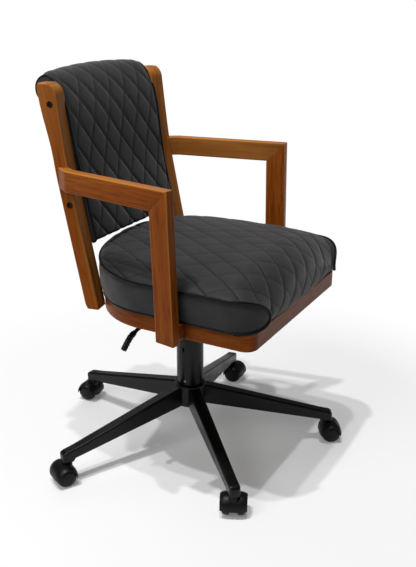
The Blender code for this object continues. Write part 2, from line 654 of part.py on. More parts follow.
def cushion_side():
    """Side profile with the front rolled over and tucked back on to the rail."""
    nose_y, nose_z = CUSHION_FRONT, CUSHION_BOTTOM + CUSHION_BAND * 0.62
    tuck = SEAT_FRONT + 0.006
    outline = [(0.4, CUSHION_BOTTOM), (0.4, 0.70), (-0.10, 0.70)]
    top_z = CUSHION_EDGE + CUSHION_CROWN + QUILT_RELIEF + 0.007
    for i in range(7):
        angle = math.radians(90 + 90 * i / 6)
        outline.append((nose_y + 0.080 + 0.080 * math.cos(angle),
                        nose_z + (top_z - nose_z) * math.sin(angle)))
    for i in range(1, 6):
        angle = math.radians(180 + 90 * i / 5)
        depth = tuck - nose_y
        outline.append((nose_y + depth + depth * math.cos(angle),
                        nose_z + (nose_z - CUSHION_BOTTOM) * math.sin(angle)))
    side = prism([outline], -0.4, 0.4)
    side.transform(Matrix(((0, 0, 1, 0), (1, 0, 0, 0), (0, 1, 0, 0), (0, 0, 0, 1))))
    return side


def crown(x, y):
    """Height of the stuffed top over a place on the seat, before the quilting."""
    reach, run = x / CUSHION_HALF_WIDTH, rear_share(y)
    spread = min(reach * reach + run * run, 1.0)
    return CUSHION_EDGE + CUSHION_REAR_RISE * run * run + CUSHION_CROWN * math.sqrt(1.0 - spread)


def crossing(i, j):
    """True where two rows of stitching cross."""
    return (i + j) % 2 == 0


def cushion_top():
    columns = 2 * math.ceil(CUSHION_HALF_WIDTH * 1.1 / QUILT_WIDTH) * 2
    rows = 2 * math.ceil(0.52 / QUILT_LENGTH)
    span_x, span_y = columns * QUILT_WIDTH / 2, rows * QUILT_LENGTH / 2
    front = CUSHION_CURVE_Y + CUSHION_CURVE_DEPTH + 0.02 - span_y

    def upper(u, v):
        x, y = (u - 0.5) * span_x, front + v * span_y
        relief = 0.0 if crossing(round(u * columns), round(v * rows)) else QUILT_RELIEF
        return (x, y, crown(x, y) + relief)

    def lower(u, v):
        return ((u - 0.5) * span_x, front + v * span_y, 0.2)

    return slab(columns, rows, lower, upper, crossing)


cushion = combined(cushion_body(), cushion_side(), "INTERSECT")
cushion = combined(cushion, cushion_top(), "INTERSECT")
add("seat_cushion", cushion, LEATHER)


# Stiles: leaning back, more upright above the arms, deeper at the top, turned to the curve of the back
def lean(z):
    """Distance back of the stile's front outer edge at a height."""
    middle, change = (LEAN_LOW + LEAN_HIGH) / 2, (LEAN_HIGH - LEAN_LOW) / 2
    step = z - KNEE_Z
    return KNEE_Y + middle * step + change * (math.hypot(step, KNEE_SOFTNESS) - KNEE_SOFTNESS)


def stile_depth(z):
    start = KNEE_Z + 0.022
    t = min(max((z - start) / (STILE_TOP - 0.020 - start), 0.0), 1.0)
    return STILE_DEPTH + (STILE_TOP_DEPTH - STILE_DEPTH) * t * t * (3 - 2 * t)


def on_stile(across, back, z):
    """Point on the right stile: across from its outer face, back from its front face."""
    c, s = math.cos(STILE_TURN), math.sin(STILE_TURN)
    return Vector((STILE_X + across * c - back * s, lean(z) + across * s + back * c, z))


def stile(grow=0.0):
    """Stile for the sitter's right side; grow makes the larger copy that leaves its neighbours a gap."""
    low, high = STILE_BOTTOM - grow, STILE_TOP + grow
    front_round, back_round, foot_round = 0.022, 0.007, 0.010
    levels = [low + foot_round * (1 - math.cos(math.radians(a))) for a in (30, 60, 90)]
    levels += [low + (high - low) * s for s in (0.10, 0.21, 0.32, 0.43, 0.53, 0.60, 0.68, 0.76, 0.84, 0.90)]
    levels += [high - front_round * (1 - math.sin(math.radians(a))) for a in (0, 25, 50, 72)]
    bar = box((0, 0, low), (1, 1, high))
    form = bmesh.new()
    form.from_mesh(bar)
    for level in levels:
        geometry = form.verts[:] + form.edges[:] + form.faces[:]
        bmesh.ops.bisect_plane(form, geom=geometry, plane_co=(0, 0, level), plane_no=(0, 0, 1))
    form.to_mesh(bar)
    form.free()

    def drawn_in(radius, distance):
        return 0.0 if distance >= radius else radius - math.sqrt(max(radius**2 - (radius - distance)**2, 0.0))

    def bend(across, back, z):
        front = drawn_in(front_round, high - z) + drawn_in(foot_round, z - low) * 0.5 - grow
        rear = stile_depth(z) - drawn_in(back_round, high - z) - drawn_in(foot_round, z - low) + grow
        side = -grow if across < 0.5 else STILE_WIDTH + grow
        return on_stile(side, front + (rear - front) * back, z)

    return mapped(bar, bend)


right_stile = softened(stile(), 0.0025, 2, 50)
rail_space = prism([rail_outline(-GAP)], RAIL_BOTTOM - 0.1, RAIL_TOP + 0.001)
right_stile = combined(right_stile, rail_space)
back_bolts = []
for z in BACK_BOLT_HEIGHTS:
    start = on_stile(0.0, stile_depth(z) * 0.42, z)
    turn = Matrix.Rotation(STILE_TURN, 4, "Z") @ Matrix.Rotation(math.radians(90), 4, "Y")
    back_bolts.append(Matrix.Translation(start) @ turn)
for place in back_bolts:
    recess = round_bar(BACK_BOLT_HEAD_RADIUS + GAP, -0.01, BACK_BOLT_SINK + 0.004 + GAP, 16, place)
    right_stile = combined(right_stile, recess)
    right_stile = combined(right_stile, round_bar(BOLT_RADIUS + GAP, -0.01, STILE_WIDTH + 0.02, 12, place))
add("stile_right", right_stile, WOOD)
add("stile_left", mirrored(right_stile), WOOD)
back_bolt = turned([
    (0.0, STILE_WIDTH + 0.012), (BOLT_RADIUS, STILE_WIDTH + 0.012), (BOLT_RADIUS, BACK_BOLT_SINK + 0.004),
    (BACK_BOLT_HEAD_RADIUS, BACK_BOLT_SINK + 0.004), (BACK_BOLT_HEAD_RADIUS, BACK_BOLT_SINK),
    (0.0028, BACK_BOLT_SINK), (0.0028, BACK_BOLT_SINK + 0.002), (0.0, BACK_BOLT_SINK + 0.002)], 12)
for place, level in zip(back_bolts, ("lower", "upper")):
    bolt = back_bolt.copy()
    bolt.transform(place)
    add(f"back_bolt_right_{level}", bolt, BOLT_BLACK)
    add(f"back_bolt_left_{level}", mirrored(bolt), BOLT_BLACK)


# Arms: flat bar splayed out to the front, dog-legged on to the stile, mitred on to an upright post
def arm_directions():
    along = Vector((math.sin(ARM_SPLAY), math.cos(ARM_SPLAY), 0))
    return along, Vector((along.y, -along.x, 0))


def mitre():
    """A point on the mitre plane and its normal, which points to the arm's side."""
    along, _ = arm_directions()
    corner = Vector((*ARM_FRONT, ARM_TOP))
    return corner, (along * ARM_HEIGHT + Vector((0, 0, POST_DEPTH))).normalized()


def arm():
    along, inward = arm_directions()
    front, bend = Vector((*ARM_FRONT, 0)), Vector((*ARM_BEND, 0))
    turn = math.radians(ARM_DOGLEG_DEG)
    along2 = Vector((math.sin(turn), math.cos(turn), 0))
    inward2 = Vector((along2.y, -along2.x, 0))
    bend_inner = bend + (inward + inward2) * (ARM_WIDTH / (1 + inward.dot(inward2)))
    end = bend + along2 * ARM_DOGLEG
    outline = [front - along * 0.01, bend, end, end + inward2 * ARM_WIDTH, bend_inner,
               front - along * 0.01 + inward * ARM_WIDTH]
    bar = prism([[(p.x, p.y) for p in outline]], ARM_TOP - ARM_HEIGHT, ARM_TOP)
    point, normal = mitre()
    bar = sliced(bar, point + normal * GAP / 2, -normal)
    return combined(softened(bar, 0.0022, 2, 30), stile(GAP))


def post(grow=0.0):
    along, inward = arm_directions()
    front, shift = Vector((*ARM_FRONT, 0)), Vector((*POST_FOOT_SHIFT, 0))

    def stand(side, depth, level):
        z = POST_FOOT + (ARM_TOP + 0.01 - POST_FOOT) * level
        slope = (ARM_TOP - z) / (ARM_TOP - POST_FOOT)
        across = -grow if side < 0.5 else ARM_WIDTH + grow
        back = -grow if depth < 0.5 else POST_DEPTH + grow
        place = front + shift * slope + inward * across + along * back
        return (place.x, place.y, z)

    bar = mapped(box((0, 0, 0), (1, 1, 1)), stand)
    point, normal = mitre()
    bar = sliced(bar, point - normal * GAP / 2, normal)
    return bar if grow else softened(bar, 0.0022, 2, 30)


right_arm, right_post = arm(), post()
add("arm_rail_right", right_arm, WOOD)
add("arm_rail_left", mirrored(right_arm), WOOD)
add("arm_post_right", right_post, WOOD)
add("arm_post_left", mirrored(right_post), WOOD)
foot = Vector((*ARM_FRONT, 0)) + Vector((*POST_FOOT_SHIFT, 0))
spacer = softened(box((foot.x + ARM_WIDTH * 0.57, foot.y + 0.001, RAIL_BOTTOM + 0.002),
                      (-SEAT_HALF_WIDTH - GAP, foot.y + POST_DEPTH - 0.006, RAIL_TOP - 0.001)), 0.0015, 1)
spacer = combined(spacer, post(GAP))
add("arm_spacer_right", spacer, WOOD)
add("arm_spacer_left", mirrored(spacer), WOOD)


# Back panel between the stiles: curved board, a quilted pad that rolls over its top, a plain pad behind
def back_face(x, z):
    """Distance back of the curved plane that holds the front faces of both stiles."""
    return lean(z) + BACK_SAG * (1 - (x / STILE_X) ** 2)


def back_slab(columns, rows, half, low, high, near, far):
    """Curved slab between two distances behind the face of the back; far may vary over the slab."""
    def at(distance):
        def place(u, v):
            x, z = (2 * u - 1) * half, low + (high - low) * v
            return (x, back_face(x, z) + BACK_SET + distance(u, v), z)
        return place
    return slab(columns, rows, at(near), at(far))


BOARD_HALF = (STILE_X + STILE_WIDTH * math.cos(STILE_TURN)) * -1 - 0.0012
BACK_HALF_WIDTH = BOARD_HALF + 0.0005
COVER_TOP = BACK_ROLL_Z - 0.0225


def back_board(grow=0.0):
    return back_slab(10, 6, BOARD_HALF + grow, BACK_BOTTOM + 0.016 - grow, BACK_ROLL_Z + 0.0005 + grow,
                     lambda u, v: 0.0004 - grow, lambda u, v: BACK_BOARD_THICKNESS + grow)


def cover_swell(u, v):
    rise = max((1 - (2 * u - 1) ** 4) * (1 - (2 * v - 1) ** 4), 0.0) ** 0.5
    return BACK_BOARD_THICKNESS + GAP + COVER_EDGE_PAD + (BACK_COVER_PAD - COVER_EDGE_PAD) * rise


board = back_board()
for place in back_bolts:
    hole = round_bar(BOLT_RADIUS + GAP, STILE_WIDTH - 0.01, STILE_WIDTH + 0.012 + GAP, 12, place)
    board = combined(board, hole)
    board = combined(board, mirrored(hole))
add("back_board", board, PLYWOOD)
add("back_cover", back_slab(10, 10, BOARD_HALF - 0.002, BACK_BOTTOM + 0.017, COVER_TOP,
                            lambda u, v: BACK_BOARD_THICKNESS + GAP, cover_swell), LEATHER)


def back_pad():
    """Pad in front of the board, carried over its top in a roll."""
    columns = 2 * round(2 * BACK_HALF_WIDTH / QUILT_WIDTH)
    front_rows = 2 * round((BACK_ROLL_Z - BACK_BOTTOM) / QUILT_LENGTH)
    roll_rows = 8
    rows = front_rows + roll_rows
    under = COVER_TOP + 0.0005

    def crowned(u, share=1.0):
        """Thickness of the pad in front; its edges stand a little proud of the stiles below, not above."""
        edge = BACK_EDGE_PAD + BACK_EDGE_TAPER * (1 - 2 * share)
        return edge + BACK_CROWN_PAD * (1 - (2 * u - 1) ** 2) ** 0.6

    def roll_height(u):
        return BACK_TOP - BACK_ARCH * (2 * u - 1) ** 2 - BACK_ROLL_RADIUS - BACK_TOP_PAD

    def rear_pad(u):
        return BACK_REAR_PAD * (1 - 0.3 * (2 * u - 1) ** 4)

    def upper(u, v):
        x, row = (2 * u - 1) * BACK_HALF_WIDTH, round(v * rows)
        column = round(u * columns)
        edge = column in (0, columns) or row == 0 or row > front_rows + 1
        relief = 0.0 if edge or crossing(column, row) else QUILT_RELIEF
        if row <= front_rows:
            share = row / front_rows
            z = BACK_BOTTOM + (roll_height(u) - BACK_BOTTOM) * share
            tuck = 0.5 if row == 0 else 1.0
            return (x, back_face(x, z) + BACK_SET - crowned(u, share) * tuck - relief, z)
        angle = math.radians(180.0 * min((row - front_rows) / (roll_rows - 1), 1.0))
        swell = crowned(u) + (BACK_TOP_PAD - crowned(u)) * math.sin(angle)
        if angle > math.pi / 2:
            swell = BACK_TOP_PAD + (rear_pad(u) - BACK_TOP_PAD) * (1 - math.sin(angle))
        radius = BACK_ROLL_RADIUS + swell + relief
        middle = back_face(x, BACK_ROLL_Z) + BACK_SET + BACK_ROLL_RADIUS - 0.0006
        drop = under + 0.003 - roll_height(u) if row == rows else 0.0
        return (x, middle - radius * math.cos(angle), roll_height(u) + radius * math.sin(angle) + drop)

    def lower(u, v):
        x, row = (2 * u - 1) * BACK_HALF_WIDTH, round(v * rows)
        if row < front_rows:
            z = BACK_BOTTOM + (under - BACK_BOTTOM) * row / front_rows
            return (x, back_face(x, z) + BACK_SET - 0.0006, z)
        along = (row - front_rows) / roll_rows
        reach = 2 * BACK_ROLL_RADIUS + rear_pad(u) - 0.006
        return (x, back_face(x, under) + BACK_SET - 0.0006 + along * reach, under)

    return slab(columns, rows, lower, upper, crossing)


pad = back_pad()
upper_bolt = round_bar(BOLT_RADIUS + GAP, 0.0, STILE_WIDTH + 0.014, 12, back_bolts[-1])
for neighbour in (back_board(GAP), upper_bolt, mirrored(upper_bolt)):
    pad = combined(pad, neighbour)
add("back_cushion", pad, LEATHER)

for spare in [m for m in bpy.data.meshes if m.users == 0]:
    bpy.data.meshes.remove(spare)
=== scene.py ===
# %% [markdown]
# # A swivel armchair for a games table
#
# The chair has a stained wooden frame, a seat and back in black diamond-quilted leather, and a black
# five-leg base on casters. The solid parts are already packed as a frame of CAD bodies. This lesson
# dresses that frame: each cell makes one piece or one finish, and every piece rides on a body, so that
# it swivels, rises or rolls with it.

# %% The frame
import json
import math

import bmesh
import bpy
import numpy as np
from mathutils import Matrix

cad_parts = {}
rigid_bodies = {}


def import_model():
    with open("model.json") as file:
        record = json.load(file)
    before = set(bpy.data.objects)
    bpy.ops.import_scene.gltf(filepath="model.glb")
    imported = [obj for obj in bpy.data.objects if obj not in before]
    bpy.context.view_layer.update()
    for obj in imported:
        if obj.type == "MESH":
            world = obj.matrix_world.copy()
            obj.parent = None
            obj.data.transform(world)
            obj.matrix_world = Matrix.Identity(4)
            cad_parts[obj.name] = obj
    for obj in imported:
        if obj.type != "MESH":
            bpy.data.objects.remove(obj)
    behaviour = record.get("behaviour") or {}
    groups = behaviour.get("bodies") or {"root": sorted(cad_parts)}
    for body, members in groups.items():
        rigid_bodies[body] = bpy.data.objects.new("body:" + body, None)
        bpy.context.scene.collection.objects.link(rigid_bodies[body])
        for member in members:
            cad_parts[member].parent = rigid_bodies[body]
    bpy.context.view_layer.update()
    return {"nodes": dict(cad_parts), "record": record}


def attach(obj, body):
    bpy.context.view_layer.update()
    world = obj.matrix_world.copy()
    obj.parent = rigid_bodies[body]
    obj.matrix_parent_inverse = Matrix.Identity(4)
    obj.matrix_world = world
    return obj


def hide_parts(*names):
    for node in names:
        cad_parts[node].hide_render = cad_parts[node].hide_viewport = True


bpy.ops.object.select_all(action="SELECT")
bpy.ops.object.delete()
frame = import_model()

# %% [markdown]
# ## Tools: grids that become meshes
#
# Every new piece is a grid of points worked out with numpy. Rows run along the piece and columns run
# round it or across it. One function turns grids into a mesh object, closes it, points its faces
# outwards and puts it on a body. A primitive that is scaled and edited by hand would be quicker to draw
# but harder to change; here a size is a number.

# %% From grids to a piece
MERGE = 1e-6


def shell(points, wrap=True, caps=True):
    """Grid and how it closes: quad (i, j) joins rows i and i + 1, columns j and j + 1. With wrap the last
    column joins the first one, and with caps a flat face closes each end row."""
    return np.asarray(points, float), wrap, caps


def faces_of(grid, start=0):
    """Corner numbers of a shell's quads, and of its two caps, counted from start."""
    points, wrap, caps = grid
    rows, columns = points.shape[:2]
    i, j = np.mgrid[0:rows - 1, 0:columns if wrap else columns - 1]
    first, k = i * columns, (j + 1) % columns
    quads = np.stack([first + j, first + k, first + columns + k, first + columns + j], axis=-1)
    faces = (quads.reshape(-1, 4) + start).tolist()
    if caps:
        faces.append((np.arange(columns)[::-1] + start).tolist())
        faces.append((np.arange((rows - 1) * columns, rows * columns) + start).tolist())
    return faces


def cleaned(mesh, fill=False):
    """Mesh with coinciding points merged, its holes filled if asked, and its faces pointing outwards."""
    form = bmesh.new()
    form.from_mesh(mesh)
    bmesh.ops.remove_doubles(form, verts=form.verts, dist=MERGE)
    if fill:
        bmesh.ops.holes_fill(form, edges=[edge for edge in form.edges if edge.is_boundary])
    bmesh.ops.recalc_face_normals(form, faces=form.faces)
    form.to_mesh(mesh)
    form.free()
    return mesh


def store(mesh, values):
    """Numbers or vectors of the points, kept in the mesh as attributes under their names."""
    for key, data in values.items():
        kind, field = ("FLOAT_VECTOR", "vector") if data.ndim == 2 else ("FLOAT", "value")
        mesh.attributes.new(key, kind, "POINT").data.foreach_set(field, data.astype(np.float32).ravel())


def mesh_of(name, shells, values):
    """Closed mesh of one or more shells, whose points carry the values."""
    faces = []
    start = 0
    for grid in shells:
        faces += faces_of(grid, start)
        start += grid[0].shape[0] * grid[0].shape[1]
    mesh = bpy.data.meshes.new(name)
    mesh.from_pydata(np.concatenate([grid[0].reshape(-1, 3) for grid in shells]), [], faces)
    store(mesh, values)
    return cleaned(mesh)


def smoothed(mesh, sharp=40.0):
    """Mesh shaded smooth, except at edges sharper than the angle in degrees."""
    mesh.shade_smooth()
    mesh.set_sharp_from_angle(angle=math.radians(sharp))


def linked(name, data):
    """Object at the origin that shows a mesh, a lamp or a camera."""
    obj = bpy.data.objects.new(name, data)
    bpy.context.scene.collection.objects.link(obj)
    return obj


def piece(name, shells, finish, body, stands_for=(), values=None, sharp=40.0):
    """Piece made of shells that rides on a body and takes the place of the CAD nodes it stands for."""
    mesh = mesh_of(name, shells, values or {})
    smoothed(mesh, sharp)
    mesh.materials.append(finish)
    obj = linked(name, mesh)
    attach(obj, body)
    if stands_for:
        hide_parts(*stands_for)
    return obj


print("mesh tools ready")

# %% [markdown]
# ## Tools: points and curves
#
# A few small functions serve many pieces: a profile turned as on a lathe, a smooth fade from an edge, the
# mirror image for the other side of the chair, and lengths along a curve.

# %% Tools for points
UP = np.array([0.0, 0.0, 1.0])
SIDES = (("right", 1.0), ("left", -1.0))


def turned(profile, steps=72):
    """Profile of (radius, height) points turned about Z: x = r cos a, y = r sin a, z = h."""
    profile = np.asarray(profile, float)
    a = np.linspace(0, 2 * np.pi, steps, endpoint=False)
    r, h = profile[:, :1], profile[:, 1:]
    return np.stack([r * np.cos(a), r * np.sin(a), h + 0 * a], axis=-1)


def unit(vectors):
    """Vectors divided by their length."""
    return vectors / np.linalg.norm(vectors, axis=-1, keepdims=True)


def fade(distance, reach):
    """0 at an edge, 1 beyond the reach: 3 t^2 - 2 t^3."""
    t = np.clip(distance / reach, 0, 1)
    return t * t * (3 - 2 * t)


def sided(points, sign):
    """Points of the right side (1), or the same on the left (-1): x changes sign."""
    return points * np.array([sign, 1.0, 1.0])


def run_along(grid, axis=0):
    """Length along a path, or along the rows or columns of a grid, from 0 at its first edge."""
    step = np.linalg.norm(np.diff(grid, axis=axis), axis=-1)
    return np.insert(np.cumsum(step, axis=axis), 0, 0.0, axis=axis)


def even(curve, spacing=None, count=None):
    """The same curve with points at an even spacing, or with a given count of points."""
    run = run_along(curve)
    at = np.linspace(0, run[-1], count or max(int(run[-1] / spacing), 4) + 1)
    return np.stack([np.interp(at, run, curve[:, i]) for i in range(curve.shape[1])], -1)


print("point tools ready")

# %% [markdown]
# ## Colours and nodes
#
# Colours are written as sRGB hex codes, as a paint card gives them, and turned to linear light once. One
# small function adds a shader node with its settings and its links, so that a material reads as a list.

# %% Colour and node helpers
MM = 0.001


def linear(code):
    """Linear RGBA of an sRGB hex code: c / 12.92 for a dark channel, else ((c + 0.055) / 1.055) ^ 2.4."""
    c = np.array([int(code[i:i + 2], 16) for i in (1, 3, 5)]) / 255
    return (*np.where(c <= 0.04045, c / 12.92, ((c + 0.055) / 1.055) ** 2.4).tolist(), 1.0)


def feed(finish, node, links):
    """Fill a node's inputs: another node gives its first output, a socket is linked, a hex code becomes a
    colour, and any other value is set as it is."""
    for key, value in links.items():
        if isinstance(value, bpy.types.Node):
            value = value.outputs[0]
        if isinstance(value, bpy.types.NodeSocket):
            finish.node_tree.links.new(value, node.inputs[key])
        else:
            node.inputs[key].default_value = linear(value) if isinstance(value, str) else value


def put(finish, kind, links=None, stops=(), **settings):
    """Add a shader node with its settings, its inputs and the (place, hex colour) stops of a colour ramp."""
    node = finish.node_tree.nodes.new("ShaderNode" + kind)
    for key, value in settings.items():
        setattr(node, key, value)
    while stops and len(node.color_ramp.elements) < len(stops):
        node.color_ramp.elements.new(0.5)
    for number, (place, code) in enumerate(stops):
        node.color_ramp.elements[number].position = place
        node.color_ramp.elements[number].color = linear(code)
    feed(finish, node, links or {})
    return node


def start_finish(name, **sockets):
    """New material and its Principled shader, with sockets set by name (underscores for spaces)."""
    finish = bpy.data.materials.new(name)
    finish.use_nodes = True
    shader = finish.node_tree.nodes["Principled BSDF"]
    feed(finish, shader, {key.replace("_", " "): value for key, value in sockets.items()})
    return finish, shader


def repeats(*sizes):
    """Texture scale along three axes for features of the given sizes in mm."""
    return [1 / (size * MM) for size in sizes]


print("colour helpers ready")

# %% [markdown]
# ## Stained wood
#
# The frame is a close-grained hardwood such as rubberwood, planed, stained brown and sealed with satin
# lacquer. The eye sees long darker streaks about a centimetre wide, short fine pores, and edges where
# the stain was sanded thin. The same pale colour is also a painted highlight on the faces where light
# falls: the arms' upper and inner faces and the stiles' front faces. Each bar carries its own grain
# coordinates (along, across, through), so the streaks follow the bar, bend with the rail, and show end
# grain on cut ends.

# %% Stained wood
def stained_wood():
    """Gives the eye brown streaks along each bar, fine dark pores, paler rubbed edges, and a painted
    highlight in the same pale colour on the faces that light falls on.
    """
    finish, shader = start_finish("stained hardwood, satin lacquer", IOR=1.45, Specular_IOR_Level=0.15,
                                  Coat_Weight=0.03, Coat_Roughness=0.25)
    grain = put(finish, "Attribute", attribute_name="grain").outputs["Vector"]
    # streaks about 11 mm wide and 300 mm long
    wide = put(finish, "Mapping", {"Vector": grain, "Scale": repeats(300, 11, 15)})
    streak = put(finish, "TexNoise", {"Vector": wide, "Scale": 1.0, "Detail": 3.0, "Roughness": 0.55,
                                      "Distortion": 0.5})
    # pores are about 0.3 mm by 5 mm; drawn 1.8 mm by 45 mm so that they show in the render
    fine = put(finish, "Mapping", {"Vector": grain, "Scale": repeats(45, 1.8, 2.4)})
    pores = put(finish, "TexNoise", {"Vector": fine, "Scale": 1.0, "Detail": 2.0, "Roughness": 0.5})
    colour = put(finish, "ValToRGB", {"Fac": streak}, [(0.30, "#8a450b"), (0.47, "#984d0e"),
                                                       (0.60, "#9f5410"), (0.78, "#a85f16")])
    shade = put(finish, "ValToRGB", {"Fac": pores}, [(0.33, "#d8c6b6"), (0.52, "#ffffff")])
    body = put(finish, "Mix", {0: 1.0, 6: colour, 7: shade}, data_type="RGBA",
               blend_type="MULTIPLY").outputs[2]
    # the stain is thinnest at edges, most so on the paler streaks; on the faces that light falls on, the same
    # pale colour is a painted highlight carried by the edge attribute
    edge = put(finish, "Attribute", attribute_name="edge").outputs["Fac"]
    rub = put(finish, "MapRange", {"Value": streak, "From Min": 0.3, "From Max": 0.7, "To Min": 0.35,
                                   "To Max": 0.75})
    wear_and_highlight = put(finish, "Math", {0: edge, 1: rub}, operation="MULTIPLY")
    # real wear at the edges and a painted highlight on lit faces, both drawn as a mix towards pale wood
    final = put(finish, "Mix", {0: wear_and_highlight, 6: body, 7: "#d8934a"}, data_type="RGBA").outputs[2]
    gloss = put(finish, "MapRange", {"Value": pores, "To Min": 0.52, "To Max": 0.36})
    bump = put(finish, "Bump", {"Height": pores, "Strength": 0.10, "Distance": 0.4 * MM})
    feed(finish, shader, {"Base Color": final, "Roughness": gloss, "Normal": bump})
    return finish


WOOD = stained_wood()
print("finish:", WOOD.name)

# %% [markdown]
# ## Leather
#
# The covers are black corrected-grain leather, embossed and finished semi-matt. Close up it has a pebbled
# grain; from a step back one sees a soft sheen and the sewn diamonds. The relief of the diamonds is in
# the mesh. The material adds what is finer: the thread in the seams and a painted shade, a darker line
# along each seam groove. The pad carries the two sewing families as an attribute: a seam lies where one is
# a whole number.

# %% Leather
def black_leather(name, deep, pale, roughness, gloss):
    """Gives the eye a soft sheen, a pebbled grain, and seams with a painted shade line under a dashed thread.
    """
    finish, shader = start_finish(name, IOR=1.46, Specular_IOR_Level=gloss, Sheen_Weight=gloss,
                                  Sheen_Roughness=0.5)
    place = put(finish, "TexCoord").outputs["Object"]
    # pebbles of about 0.9 mm, drawn 1.6 mm so that they show
    pebble = put(finish, "TexVoronoi", {"Vector": place, "Scale": 1 / (1.6 * MM)}, feature="SMOOTH_F1")
    cloud = put(finish, "TexNoise", {"Vector": place, "Scale": 1 / (38 * MM), "Detail": 4.0})
    sewing = put(finish, "Attribute", attribute_name="quilt").outputs["Vector"]
    quilt = put(finish, "SeparateXYZ", {0: sewing}).outputs
    marks = []
    for family, other, share in (("X", "Y", 1.0), ("Y", "X", 0.45)):
        fold = put(finish, "Math", {0: quilt[family], 1: 1.0}, operation="PINGPONG")
        away = put(finish, "Math", {0: fold, 1: 0.5}, operation="SUBTRACT")
        near = put(finish, "Math", {0: away}, operation="ABSOLUTE")
        # painted shade within 2 mm of the seam, of the 45 mm between two seams: wider than the thread, so
        # that it shows
        line = put(finish, "MapRange", {"Value": near, "From Min": 0.45, "From Max": 0.49, "To Max": share})
        # stitches of 6 mm: real ones are 4 mm, drawn longer so that they show
        beat = put(finish, "Math", {0: quilt[other], 1: 8.0}, operation="MULTIPLY")
        saw = put(finish, "Math", {0: beat}, operation="FRACT")
        dash = put(finish, "Math", {0: saw, 1: 0.68}, operation="LESS_THAN")
        marks.append((line, put(finish, "Math", {0: line, 1: dash}, operation="MULTIPLY")))
    seams = [put(finish, "Math", {0: one, 1: two}, operation="MAXIMUM") for one, two in zip(*marks)]
    seam_shade, sewn = (put(finish, "Math", {0: seam, 1: quilt["Z"]}, operation="MULTIPLY") for seam in seams)
    skin = put(finish, "ValToRGB", {"Fac": cloud}, [(0.30, deep), (0.72, pale)])
    # painted shade: the skin darkens to near black along each seam
    seam_shaded_skin = put(finish, "Mix", {0: seam_shade, 6: skin, 7: "#050505"}, data_type="RGBA").outputs[2]
    final = put(finish, "Mix", {0: sewn, 6: seam_shaded_skin, 7: "#101011"}, data_type="RGBA").outputs[2]
    matt = put(finish, "MapRange", {"Value": cloud, "To Min": roughness - 0.08, "To Max": roughness + 0.10})
    grain = put(finish, "Bump", {"Height": pebble, "Strength": 0.22, "Distance": 0.35 * MM})
    raised = put(finish, "Bump", {"Height": sewn, "Normal": grain, "Strength": 0.5, "Distance": 0.6 * MM})
    feed(finish, shader, {"Base Color": final, "Roughness": matt, "Normal": raised})
    return finish


LEATHER = black_leather("black corrected-grain leather", "#222223", "#2e2e30", 0.56, 0.25)
PIPING = black_leather("black piping leather", "#030303", "#070707", 0.40, 0.12)
print("finishes:", LEATHER.name, "and", PIPING.name)

# %% [markdown]
# ## Paint, plastic and metal
#
# The base is steel with black powder coat, which dries to a fine orange peel. The casters are moulded
# nylon, a little more matt, with the fine spark texture of the mould. Bright steel is drawn or turned, so
# it has fine lines. Bolts are blackened. The seat board and back board are bare plywood.

# %% Paint, plastic, metal and plywood
def speckled(name, low, high, roughness, metallic, grit, depth, coat=0.0):
    """Gives the eye a skin with a fine texture (grit and depth in mm) and slow changes of tone."""
    finish, shader = start_finish(name, Metallic=metallic, Coat_Weight=coat, Coat_Roughness=0.25,
                                  Specular_IOR_Level=0.5 if metallic else 0.20)
    place = put(finish, "TexCoord").outputs["Object"]
    peel = put(finish, "TexNoise", {"Vector": place, "Scale": 1 / (grit * MM), "Detail": 2.0})
    tone = put(finish, "TexNoise", {"Vector": place, "Scale": 1 / (45 * MM), "Detail": 5.0, "Roughness": 0.6})
    colour = put(finish, "ValToRGB", {"Fac": tone}, [(0.32, low), (0.70, high)])
    gloss = put(finish, "MapRange", {"Value": tone, "From Min": 0.3, "From Max": 0.7,
                                     "To Min": roughness - 0.05, "To Max": roughness + 0.07})
    bump = put(finish, "Bump", {"Height": peel, "Strength": 0.25, "Distance": depth * MM})
    feed(finish, shader, {"Base Color": colour, "Roughness": gloss, "Normal": bump})
    return finish


def bare_plywood():
    """Gives the eye pale wood with face grain from front to back and the lines of its plies at the edges."""
    finish, shader = start_finish("bare birch plywood", Roughness=0.68)
    place = put(finish, "TexCoord").outputs["Object"]
    # a wave is two plies of 1.5 mm; the node's wave is 2 pi / 20 long at scale 1
    plies = put(finish, "TexWave", {"Vector": place, "Scale": math.pi / (20 * 1.5 * MM), "Distortion": 0.4},
                bands_direction="Z").outputs["Fac"]
    # face grain 9 mm wide and 220 mm long
    along = put(finish, "Mapping", {"Vector": place, "Scale": repeats(9, 220, 9)})
    grain = put(finish, "TexNoise", {"Vector": along, "Scale": 1.0, "Detail": 4.0})
    face = put(finish, "ValToRGB", {"Fac": grain}, [(0.3, "#a5824f"), (0.7, "#c6a271")])
    edge = put(finish, "ValToRGB", {"Fac": plies}, [(0.35, "#c9b394"), (0.65, "#ffffff")])
    final = put(finish, "Mix", {0: 0.6, 6: face, 7: edge}, data_type="RGBA",
                blend_type="MULTIPLY").outputs[2]
    bump = put(finish, "Bump", {"Height": grain, "Strength": 0.15, "Distance": 0.3 * MM})
    feed(finish, shader, {"Base Color": final, "Normal": bump})
    return finish


COAT = speckled("black powder coat on steel", "#060606", "#0b0b0c", 0.32, 0.0, 1.4, 0.10, coat=0.05)
BLACK_STEEL = speckled("black painted pressed steel", "#0b0b0b", "#121212", 0.44, 0.0, 1.8, 0.12)
NYLON = speckled("black moulded nylon", "#0a0a0a", "#101011", 0.40, 0.0, 0.9, 0.08)
BRIGHT = speckled("drawn bright steel", "#9b9da0", "#b9bbbd", 0.28, 1.0, 0.8, 0.05)
OXIDE = speckled("blackened bolt steel", "#141312", "#24211f", 0.42, 0.6, 0.9, 0.08)
PLYWOOD = bare_plywood()
print("finishes:", len(bpy.data.materials))

